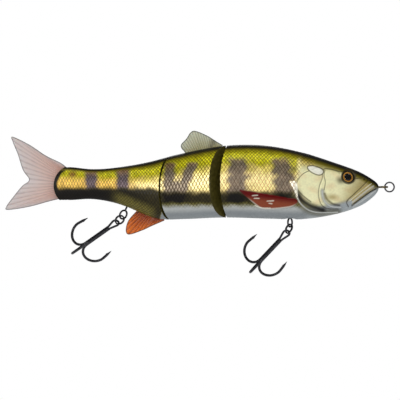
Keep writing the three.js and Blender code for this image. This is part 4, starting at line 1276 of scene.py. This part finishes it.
def wire_tree():
    tree, inp, out = new_tree("bent_wire", [
        ("Sides", "NodeSocketInt", 14), ("Finish", "NodeSocketMaterial", None),
    ])
    path = tree.nodes.new("GeometryNodeMeshToCurve")
    radius = tree.nodes.new("GeometryNodeInputNamedAttribute")
    radius.data_type = "FLOAT"
    radius.inputs["Name"].default_value = "wire_radius"
    sized = tree.nodes.new("GeometryNodeSetCurveRadius")
    section = tree.nodes.new("GeometryNodeCurvePrimitiveCircle")
    section.inputs["Radius"].default_value = 1.0
    sweep = tree.nodes.new("GeometryNodeCurveToMesh")
    sweep.inputs["Fill Caps"].default_value = True
    join_nodes(tree, [
        (inp.outputs["Geometry"], path.inputs[0]), (path.outputs[0], sized.inputs[0]),
        (radius.outputs[0], sized.inputs["Radius"]), (inp.outputs["Sides"], section.inputs[0]),
        (sized.outputs[0], sweep.inputs[0]), (section.outputs[0], sweep.inputs[1]),
    ])
    if "Scale" in sweep.inputs:
        tree.links.new(radius.outputs[0], sweep.inputs["Scale"])
    finish_tree(tree, sweep.outputs[0], inp.outputs["Finish"], out)
    return tree


def grow(piece, tree, values):
    """Runs a geometry tree on a piece with its inputs set, and keeps the result."""
    modifier = piece.modifiers.new(tree.name, "NODES")
    modifier.node_group = tree
    for item in tree.interface.items_tree:
        if item.name in values:
            modifier[item.identifier] = values[item.name]
    finished_mesh(piece)


bent_wire = wire_tree()


def wires(name, paths, look, sides=14):
    """One piece of wire paths: each is (points, radius or radii, closed)."""
    verts, edges, radii = [], [], []
    for points, radius, closed in paths:
        first = len(verts)
        verts.extend(tuple(map(float, point)) for point in points)
        edges.extend((first + i, first + i + 1) for i in range(len(points) - 1))
        if closed:
            edges.append((len(verts) - 1, first))
        radii.extend(np.broadcast_to(radius, len(points)).tolist())
    piece = mesh_object(name, verts, [], edges=edges)
    point_layer(piece.data, "wire_radius", radii)
    grow(piece, bent_wire, {"Sides": sides, "Finish": look})
    return piece


def ring_path(radius, count, centre=(0, 0, 0), normal="y"):
    a, b = circle(radius, count).T
    flat = np.zeros(count)
    axes = {"y": (a, flat, b), "z": (a, b, flat)}[normal]
    return np.stack(axes, axis=1) + np.array(centre)


def straight(start, end, count=6):
    return np.linspace(start, end, count)


WIRE_GRAIN = 1500
brass_wire = speckled_look(
    "brass_wire", (0.07, 0.055, 0.028), (0.22, 0.17, 0.08), 0.3, 1.0, WIRE_GRAIN,
)
bright_steel = speckled_look(
    "bright_steel", (0.05, 0.05, 0.055), (0.14, 0.14, 0.15), 0.5, 0.7, WIRE_GRAIN,
)
black_nickel = speckled_look(
    "black_nickel", (0.02, 0.02, 0.022), (0.07, 0.07, 0.08), 0.24, 0.9, WIRE_GRAIN,
)

# ---- line tie ----------------------------------------------------------------------------------
# A brass wire eye lies flat in front of the nose, its shank moulded into the head. A small
# split ring hangs in it and stands straight out.

tie = wires(
    "nose_wire_eye",
    [
        (ring_path(TIE_LOOP_RADIUS, 48, normal="z"), TIE_WIRE_RADIUS, True),
        (straight((-TIE_LOOP_RADIUS, 0, 0), (-TIE_SHANK_LENGTH, 0, 0)), TIE_WIRE_RADIUS, False),
    ],
    brass_wire,
)
put(tie, Matrix.Identity(4), "front_section", "tie_wire", "line_tie_eye")

# ---- split rings ------------------------------------------------------------------------------
# Each is flat spring wire wound twice round, a coil against a coil, with both ends cut off
# square.

RING_RADIUS = 2.5
RING_THICKNESS = 0.85
RING_WIDTH = 1.2


def ring_tree():
    tree, inp, out = new_tree("split_ring", [
        ("Coil radius", "NodeSocketFloat", 2.5), ("Wire across", "NodeSocketFloat", 0.8),
        ("Wire along", "NodeSocketFloat", 0.55), ("Turns", "NodeSocketFloat", 1.95),
        ("Finish", "NodeSocketMaterial", None),
    ])
    coil = tree.nodes.new("GeometryNodeCurveSpiral")
    coil.inputs["Resolution"].default_value = 48
    upright = tree.nodes.new("GeometryNodeSetCurveNormal")
    upright.mode = "Z_UP"
    flat = tree.nodes.new("GeometryNodeCurvePrimitiveQuadrilateral")
    rounded = tree.nodes.new("GeometryNodeFilletCurve")
    rounded.mode = "POLY"
    rounded.inputs["Count"].default_value = 3
    rounded.inputs["Radius"].default_value = 0.23
    sweep = tree.nodes.new("GeometryNodeCurveToMesh")
    sweep.inputs["Fill Caps"].default_value = True
    join_nodes(tree, [
        (inp.outputs["Turns"], coil.inputs["Rotations"]),
        (inp.outputs["Coil radius"], coil.inputs["Start Radius"]),
        (inp.outputs["Coil radius"], coil.inputs["End Radius"]),
        (inp.outputs["Wire along"], flat.inputs["Height"]),
        (inp.outputs["Wire across"], flat.inputs["Width"]),
        (coil.outputs[0], upright.inputs[0]), (upright.outputs[0], sweep.inputs[0]),
        (flat.outputs[0], rounded.inputs[0]), (rounded.outputs[0], sweep.inputs[1]),
    ])
    lift = tree.nodes.new("ShaderNodeMath")
    lift.operation = "MULTIPLY"
    join_nodes(tree, [
        (inp.outputs["Wire along"], lift.inputs[0]), (inp.outputs["Turns"], lift.inputs[1]),
        (lift.outputs[0], coil.inputs["Height"]),
    ])
    finish_tree(tree, sweep.outputs[0], inp.outputs["Finish"], out)
    return tree


split_ring = ring_tree()


def ring_piece(name, look):
    """A split ring about Y, centred on the origin, in millimetres."""
    piece = mesh_object(name, [(0, 0, 0)], [])
    grow(piece, split_ring, {
        "Coil radius": RING_RADIUS, "Wire across": RING_THICKNESS * 0.95,
        "Wire along": RING_WIDTH / 2 * 0.8, "Turns": 1.94, "Finish": look,
    })
    heights = [v.co.z for v in piece.data.vertices]
    middle = (max(heights) + min(heights)) / 2
    piece.data.transform(Matrix.Rotation(math.pi / 2, 4, "X") @ Matrix.Translation((0, 0, -middle)))
    return piece


tie_ring_x = TIE_LOOP_RADIUS - TIE_WIRE_RADIUS - CLEARANCE + RING_RADIUS - RING_THICKNESS / 2
put(
    ring_piece("nose_split_ring", bright_steel),
    in_metres(Matrix.Translation((tie_ring_x, 0, 0)) @ Matrix.Rotation(0.6, 4, "Y")),
    "tie_ring", "ring_steel", "line_tie_ring",
)

# ---- hooks ------------------------------------------------------------------------------------
# A wire hanger turns in a brass sleeve in the belly, a split ring hangs in it, and a treble in
# that. The treble is three forged wires brazed along the shank, in black nickel.

TREBLE_LENGTH = 30
TREBLE_REACH = 13.4
TREBLE_WIRE_RADIUS = 0.6
TREBLE_EYE_RADIUS = 1.8
TREBLE_POINT_RISE = 14
TREBLE_SHANK_RADIUS = 0.72
TREBLE_LEG_OFFSET = 0.62


def hanger_paths(drop):
    loop = ring_path(HANGER_LOOP_RADIUS, 56, (0, 0, -drop))
    stem = straight((0, 0, HANGER_LOOP_RADIUS - drop), (0, 0, HEAD_LOW + 0.1))
    head = [(0, 0, HEAD_LOW + lift) for lift in (0, 0.12, 0.4, 0.68, HANGER_HEAD_HEIGHT)]
    head_radius = HANGER_WIRE_RADIUS + 0.8
    head_radii = [head_radius - 0.15, head_radius, head_radius, head_radius, head_radius - 0.15]
    return [
        (loop, HANGER_WIRE_RADIUS, True), (stem, HANGER_WIRE_RADIUS, False),
        (head, head_radii, False),
    ]


def turned(points, degrees):
    spin = np.array(Matrix.Rotation(math.radians(degrees), 3, "Z"))
    return np.asarray(points, float) @ spin.T


def treble_paths(eye_turn):
    """The brazed shank, the eye, and the three bends with their barbed points."""
    wire_radius = TREBLE_WIRE_RADIUS
    eye_top = wire_radius + RING_THICKNESS / 2 + CLEARANCE + 0.05
    eye_bottom = eye_top - 6.4
    lowest = eye_top + wire_radius - TREBLE_LENGTH
    offset = wire_radius * 1.05
    bend_radius = (TREBLE_REACH - offset) / 2
    bend_centre = lowest + wire_radius + bend_radius
    point_top = lowest + TREBLE_POINT_RISE
    spike = 3.4
    leg = TREBLE_LEG_OFFSET
    eye = [(leg, 0, eye_bottom - 4.5), (leg, 0, eye_bottom - 0.6)]
    for degrees in range(-15, 196, 15):
        angle = math.radians(degrees)
        reach = TREBLE_EYE_RADIUS
        eye.append((reach * math.cos(angle), 0, eye_top - reach + reach * math.sin(angle)))
    eye += [(-leg, 0, eye_bottom - 0.6), (-leg, 0, eye_bottom - 4.5)]
    eye = turned(through(eye, steps=5), eye_turn)
    paths = [
        (eye, wire_radius * 0.97, False),
        (straight((0, 0, eye_bottom - 0.2), (0, 0, bend_centre), 8), TREBLE_SHANK_RADIUS, False),
    ]
    wire_radius = wire_radius * 1.2
    for turn in (-90, 30, 150):
        bend = [(offset, 0, eye_bottom - 0.3), (offset, 0, bend_centre + 1)]
        for step in range(13):
            angle = math.pi + math.pi * step / 12
            x = offset + bend_radius + bend_radius * math.cos(angle)
            bend.append((x, 0, bend_centre + bend_radius * math.sin(angle)))
        base = (TREBLE_REACH - 0.4, 0, point_top - spike)
        bend.append(base)
        smooth = through(bend, steps=5)
        tip = (base[0] - 0.12 * spike, 0, point_top)
        steps = np.linspace(0, 1, 9)[1:, None]
        point = np.array(base) * (1 - steps) + np.array(tip) * steps
        path = np.concatenate([smooth, point])
        taper = wire_radius * (1 - steps[:, 0]) ** 0.85 + 0.03
        radii = np.concatenate([np.full(len(smooth), wire_radius), taper])
        paths.append((turned(path, turn), radii, False))
        barb_root = np.array((TREBLE_REACH - 0.75, 0, point_top - spike + 1.4))
        barb_tip = barb_root + np.array((-0.68, 0, -1.5))
        barb = straight(barb_root, barb_tip, 6)
        paths.append((turned(barb, turn), np.linspace(0.3, 0.03, 6), False))
    return paths


def hook_chain(name, hook, section_place):
    """The hanger, the split ring and the treble, each hung in the one before."""
    seat = link_frame(hook["origin"], hook["stem"], hook["hanger_turn"])
    hanger = wires(f"{name}_hanger_wire", hanger_paths(hook["drop"]), black_nickel)
    put(
        hanger, section_place @ in_metres(seat), f"{name}_hanger", "hook_steel",
        f"{name}_hook_hanger",
    )
    stem = hook["stem"].normalized()
    ring_down = hook["ring_down"].normalized()
    ring_hang = RING_RADIUS - HANGER_WIRE_RADIUS - RING_THICKNESS / 2 - CLEARANCE - 0.1
    hang_point = hook["origin"] + stem * (hook["drop"] + HANGER_LOOP_RADIUS)
    ring_centre = hang_point + ring_down * ring_hang
    ring_place = link_frame(ring_centre, ring_down, hook["ring_turn"])
    ring = ring_piece(f"{name}_split_ring", black_nickel)
    put(
        ring, section_place @ in_metres(ring_place @ Matrix.Rotation(0.8, 4, "Y")),
        f"{name}_ring", "ring_steel", f"{name}_hook_ring",
    )
    treble_point = ring_centre + ring_down * RING_RADIUS
    treble_place = link_frame(treble_point, hook["treble_down"].normalized(), 0)
    treble = wires(f"{name}_treble_wires", treble_paths(hook["eye_turn"]), black_nickel, sides=12)
    put(
        treble, section_place @ in_metres(treble_place), f"{name}_treble", "hook_steel",
        f"{name}_treble_hook",
    )


hook_chain("front", front_hook, Matrix.Identity(4))
hook_chain("rear", rear_hook, place_rear)
for name in ("front_hook_sleeve", "rear_hook_sleeve"):
    frame["nodes"][name].material_slots[0].material = brass_wire

# ---- hinge wires and pins -----------------------------------------------------------------------
# Two wire eyes are set in each section ahead, and a drawn steel pin goes down through them and
# the nose of the section behind.

hinge_steel = speckled_look("drawn_steel", (0.3, 0.3, 0.31), (0.5, 0.5, 0.5), 0.32, 1.0, 1200)
eyes_at_front = Matrix.Translation(front_hinge)
eyes_at_rear = place_middle @ in_metres(to_rear_hinge)
for name, joint, parent, child, place, pin_place in (
    ("front", front_joint, "front_section", "middle_section", eyes_at_front, place_middle),
    ("rear", rear_joint, "middle_section", "rear_section", eyes_at_rear, place_rear),
):
    for level, z in zip(("upper", "lower"), joint["eyes"]):
        eye = wires(
            f"{name}_hinge_{level}_wire",
            [
                (ring_path(HINGE_LOOP_RADIUS, 40, (0, 0, z), "z"), HINGE_WIRE_RADIUS, True),
                (
                    straight((HINGE_LOOP_RADIUS, 0, z), (HINGE_SHANK_LENGTH, 0, z)),
                    HINGE_WIRE_RADIUS, False,
                ),
            ],
            hinge_steel,
        )
        put(eye, place, parent, "hinge_steel", f"{name}_joint_{level}_eye")
    low, high = joint["pin"]
    ends = [low, low + 0.2, *np.linspace(low + 1, high - 1, 5), high - 0.2, high]
    radii = [HINGE_PIN_RADIUS - 0.2] + [HINGE_PIN_RADIUS] * 7 + [HINGE_PIN_RADIUS - 0.2]
    pin = wires(f"{name}_hinge_pin_rod", [([(0, 0, z) for z in ends], radii, False)], hinge_steel)
    put(pin, pin_place, child, "hinge_steel", f"{name}_joint_pin")

# ---- ballast ------------------------------------------------------------------------------------
# Cast weights lie in the bottom of the three hollows.

cast_lead = speckled_look("cast_lead", (0.11, 0.115, 0.12), (0.2, 0.205, 0.21), 0.6, 0.8, 500)
for name in ("front_ballast", "middle_ballast", "rear_ballast"):
    frame["nodes"][name].material_slots[0].material = cast_lead

# ---- fins ---------------------------------------------------------------------------------------
# Moulded in soft clear plastic with raised rays that fan out from the root, thin at the edge,
# and tinted: cream dorsal fin, orange anal fin, pale pink tail fin.


def resampled(points, count):
    line = through(points, steps=14)
    run = np.concatenate([[0], np.cumsum(np.hypot(*np.diff(line, axis=0).T))])
    at = np.linspace(0, run[-1], count)
    return np.stack([np.interp(at, run, line[:, 0]), np.interp(at, run, line[:, 1])], axis=1)


def fin_piece(name, root, edge, rays, thick, thin, look, columns=160, rows=44):
    """A ruled blade from its root line to its outer edge, with a rib on each ray."""
    share = np.linspace(0, 1, rows)[:, None, None]
    flat = root[None] * (1 - share) + edge[None] * share
    across = np.linspace(0, 1, columns)
    rib = 0.5 + 0.5 * np.cos(2 * math.pi * rays * across)
    along = np.linspace(0, 1, rows)[:, None]
    split = 0.5 + 0.5 * np.cos(4 * math.pi * rays * across)
    rib = mix(rib[None], split[None], step_up(along, 0.55, 0.9))
    body = mix(thick, thin, along**0.7)
    margin = np.minimum(across, 1 - across)[None]
    rim = step_up(margin, 0, 0.03) * (1 - 0.5 * step_up(along, 0.93, 1))
    half = body * (0.62 + 0.38 * rib) * (0.35 + 0.65 * rim) / 2
    right = np.stack([flat[..., 0], -half, flat[..., 1]], axis=2).reshape(-1, 3)
    left = np.stack([flat[..., 0], half, flat[..., 1]], axis=2).reshape(-1, 3)
    count = rows * columns
    faces = grid_faces(rows, columns, around=False)
    faces += [tuple(count + k for k in face[::-1]) for face in faces]
    border = list(range(columns))
    border += [i * columns + columns - 1 for i in range(1, rows)]
    border += [(rows - 1) * columns + k for k in range(columns - 2, -1, -1)]
    border += [i * columns for i in range(rows - 2, 0, -1)]
    for a, b in zip(border, border[1:] + border[:1]):
        faces.append((a, b, count + b, count + a))
    piece = mesh_object(name, np.concatenate([right, left]), faces, [look])
    mesh = piece.data
    place = np.stack(np.broadcast_arrays(across[None], along), axis=2).reshape(-1, 2)
    place_layer(mesh, "rays", np.tile(place, (2, 1)))
    gap, _ = line_gap(flat[..., 0].ravel(), flat[..., 1].ravel(), edge)
    stain = bump(across[None] + 0.15 * along, 0.3, 0.13) * step_up(along, 0.1, 0.4)
    point_layer(mesh, "rim_gap", np.tile(gap, 2))
    point_layer(mesh, "stain", np.tile(stain.ravel(), 2))
    return piece


def fin_look(name, root, tip, ray, rim, rays, shade=0.5, stained=0.0):
    """Tinted soft plastic: a fade from root to tip, darker rays, and a dark rim."""
    look, nodes, links, shader = new_look(name)
    attribute, maths, smooth_step, blend = node_makers(nodes, links)
    set_inputs(shader, {
        "Subsurface Weight": 0.25, "Subsurface Radius": (0.002, 0.0012, 0.0008),
        "Coat Weight": 0.1, "Specular IOR Level": 0.2,
    })
    _, across, along = uv_axes(nodes, links, "rays")
    noise = mottled(nodes, 420, 5)
    fade = blend(along, root, tip)
    wave = maths("COSINE", maths("MULTIPLY", across, 2 * math.pi * rays))
    groove = maths("POWER", maths("MULTIPLY_ADD", wave, -0.5, 0.5), 3.0)
    groove = maths("MULTIPLY", groove, maths("MULTIPLY_ADD", noise.outputs[0], 1.2, 0.1))
    stain = maths("MULTIPLY", attribute("stain").outputs["Fac"], stained)
    fade = blend(stain, fade, ray)
    rayed = blend(maths("MULTIPLY", groove, shade), fade, ray)
    rim_colour, rim_share = rim
    edge = smooth_step(attribute("rim_gap").outputs["Fac"], 0.15, 0.75, rim_share, 0.0)
    rimmed = blend(edge, rayed, rim_colour)
    links.new(rimmed, shader.inputs["Base Color"])
    rough = maths("MULTIPLY_ADD", noise.outputs[0], 0.25, 0.3)
    links.new(rough, shader.inputs["Roughness"])
    height = maths("MULTIPLY_ADD", wave, 0.5, noise.outputs[0])
    raise_surface(nodes, links, shader, height, 0.00008)
    return look


def tabbed_root(front, rear, tab_front, tab_rear, root, down, count=160):
    """A root line just under the skin that dips into the slot where the tab is."""
    x = np.linspace(front, rear, count)
    skin = np.array([root(value) for value in x])
    in_slot = (x < tab_front) & (x > tab_rear)
    lift = np.where(in_slot, down * (FIN_TAB_DEPTH - 0.3), down * 0.3)
    return np.stack([x, skin + lift], axis=1)


dorsal_edge = [
    (1.9, 0.59), (-1.9, 3.31), (-6.4, 6.83), (-12.9, 10.64), (-15.6, 10.28), (-17.7, 7.62),
    (-20.6, 5.04), (-20.4, 2.79), (-18.5, 0.6),
]
dorsal = fin_piece(
    "dorsal_fin_soft",
    tabbed_root(1.7, -18.3, -3, -16.5, dorsal_root, -1),
    resampled([(x, dorsal_root(x) + rise) for x, rise in dorsal_edge], 160),
    20, FIN_THICKNESS, FIN_EDGE_THICKNESS,
    fin_look(
        "dorsal_soft_plastic", (0.42, 0.37, 0.15), (0.6, 0.62, 0.48), (0.12, 0.1, 0.05),
        ((0.03, 0.035, 0.03), 0.85), 20, shade=0.65, stained=0.65,
    ),
)
put(dorsal, place_middle, "middle_section", "dorsal_fin", "dorsal_fin", sharp=60)

anal_edge = [
    (1.2, 0.64), (-5.5, 4.76), (-10.7, 9.1), (-17.6, 14.37), (-19.5, 13.09), (-18.4, 7.68),
    (-14.8, 1.63), (-13.2, 0.6),
]
anal = fin_piece(
    "anal_fin_soft",
    tabbed_root(1.0, -12.9, -3.6, -12, anal_root, 1),
    resampled([(x, anal_root(x) - drop) for x, drop in anal_edge], 160),
    13, FIN_THICKNESS, FIN_EDGE_THICKNESS,
    fin_look(
        "anal_soft_plastic", (0.2, 0.022, 0.008), (0.85, 0.19, 0.012), (0.13, 0.012, 0.004),
        ((0.05, 0.02, 0.01), 0.85), 13, shade=0.8,
    ),
)
put(anal, place_rear, "rear_section", "anal_fin", "anal_fin", sharp=60)

tail_edge = [
    (-1, 10.4), (-4.4, 13), (-12.5, 17), (-21.1, 22.7), (-30.2, 27), (-29.9, 23.8),
    (-27.4, 17.8), (-24.6, 9.2), (-21.3, 3.9), (-25, 0.6), (-29.6, -5), (-33.6, -10.6),
    (-32.4, -12.2), (-21.1, -10.5), (-9.2, -7.3), (-1, -5.6),
]
tail_base = [(-0.4, 9.4), (0, 7), (0, 2), (0, -3), (-0.4, -5)]
tail = fin_piece(
    "tail_fin_soft",
    resampled([(tail_root + x, z) for x, z in tail_base], 220),
    resampled([(tail_root + x, z) for x, z in tail_edge], 220),
    30, TAIL_THICKNESS, TAIL_EDGE_THICKNESS,
    fin_look(
        "tail_soft_plastic", (0.7, 0.4, 0.31), (0.68, 0.62, 0.61), (0.3, 0.2, 0.2),
        ((0.1, 0.1, 0.1), 0.7), 30,
    ),
    columns=220,
)
put(tail, place_rear, "rear_section", "tail_fin", "tail_fin", sharp=60)

# ---- studio -------------------------------------------------------------------------------------
# A round pale floor under the lure, which ends before it would show behind it, with a big soft
# light overhead, a fill beside the camera and a weaker one behind.

FLOOR_Z = -0.2
FLOOR_RADIUS = 1.1

floor_look = speckled_look("studio_paper", (0.9, 0.9, 0.9), (0.93, 0.93, 0.93), 0.8, 0.0, 40)
floor_shader = floor_look.node_tree.nodes["Principled BSDF"]
set_inputs(floor_shader, {"Emission Color": (1, 1, 1, 1), "Emission Strength": 0.3})
floor_place = Matrix.Translation((CENTRE_X, 0, FLOOR_Z))
floor_disc = moved(prism(circle(FLOOR_RADIUS, 96), -0.01, 0), floor_place)
floor = mesh_object("studio_floor", *floor_disc, [floor_look])

SKY_LIGHT = 0.2
SKY_SEEN = 1.0

world = bpy.data.worlds.new("studio")
world.use_nodes = True
sky_nodes = world.node_tree.nodes
sky = sky_nodes["Background"]
sky.inputs["Color"].default_value = (1, 1, 1, 1)
ray_kind = sky_nodes.new("ShaderNodeLightPath")
sky_strength = sky_nodes.new("ShaderNodeMapRange")
set_inputs(sky_strength, {"To Min": SKY_LIGHT, "To Max": SKY_SEEN})
world.node_tree.links.new(ray_kind.outputs["Is Camera Ray"], sky_strength.inputs["Value"])
world.node_tree.links.new(sky_strength.outputs[0], sky.inputs["Strength"])
bpy.context.scene.world = world


def softbox(name, place, target, size, watts):
    light = bpy.data.lights.new(name, "AREA")
    light.shape = "RECTANGLE"
    light.size, light.size_y = size
    light.energy = watts
    box = bpy.data.objects.new(name, light)
    bpy.context.scene.collection.objects.link(box)
    box.location = place
    box.rotation_euler = (Vector(target) - Vector(place)).to_track_quat("-Z", "Y").to_euler()


subject = (CENTRE_X, 0, CENTRE_Z)
softbox("overhead", (CENTRE_X + 0.1, -0.45, 0.6), subject, (0.9, 0.35), 2.4)
softbox("fill", (CENTRE_X - 0.4, -1.2, 0.1), subject, (0.5, 0.5), 3.5)
softbox("behind", (CENTRE_X - 0.2, 1.2, 0.6), subject, (0.7, 0.4), 2.2)
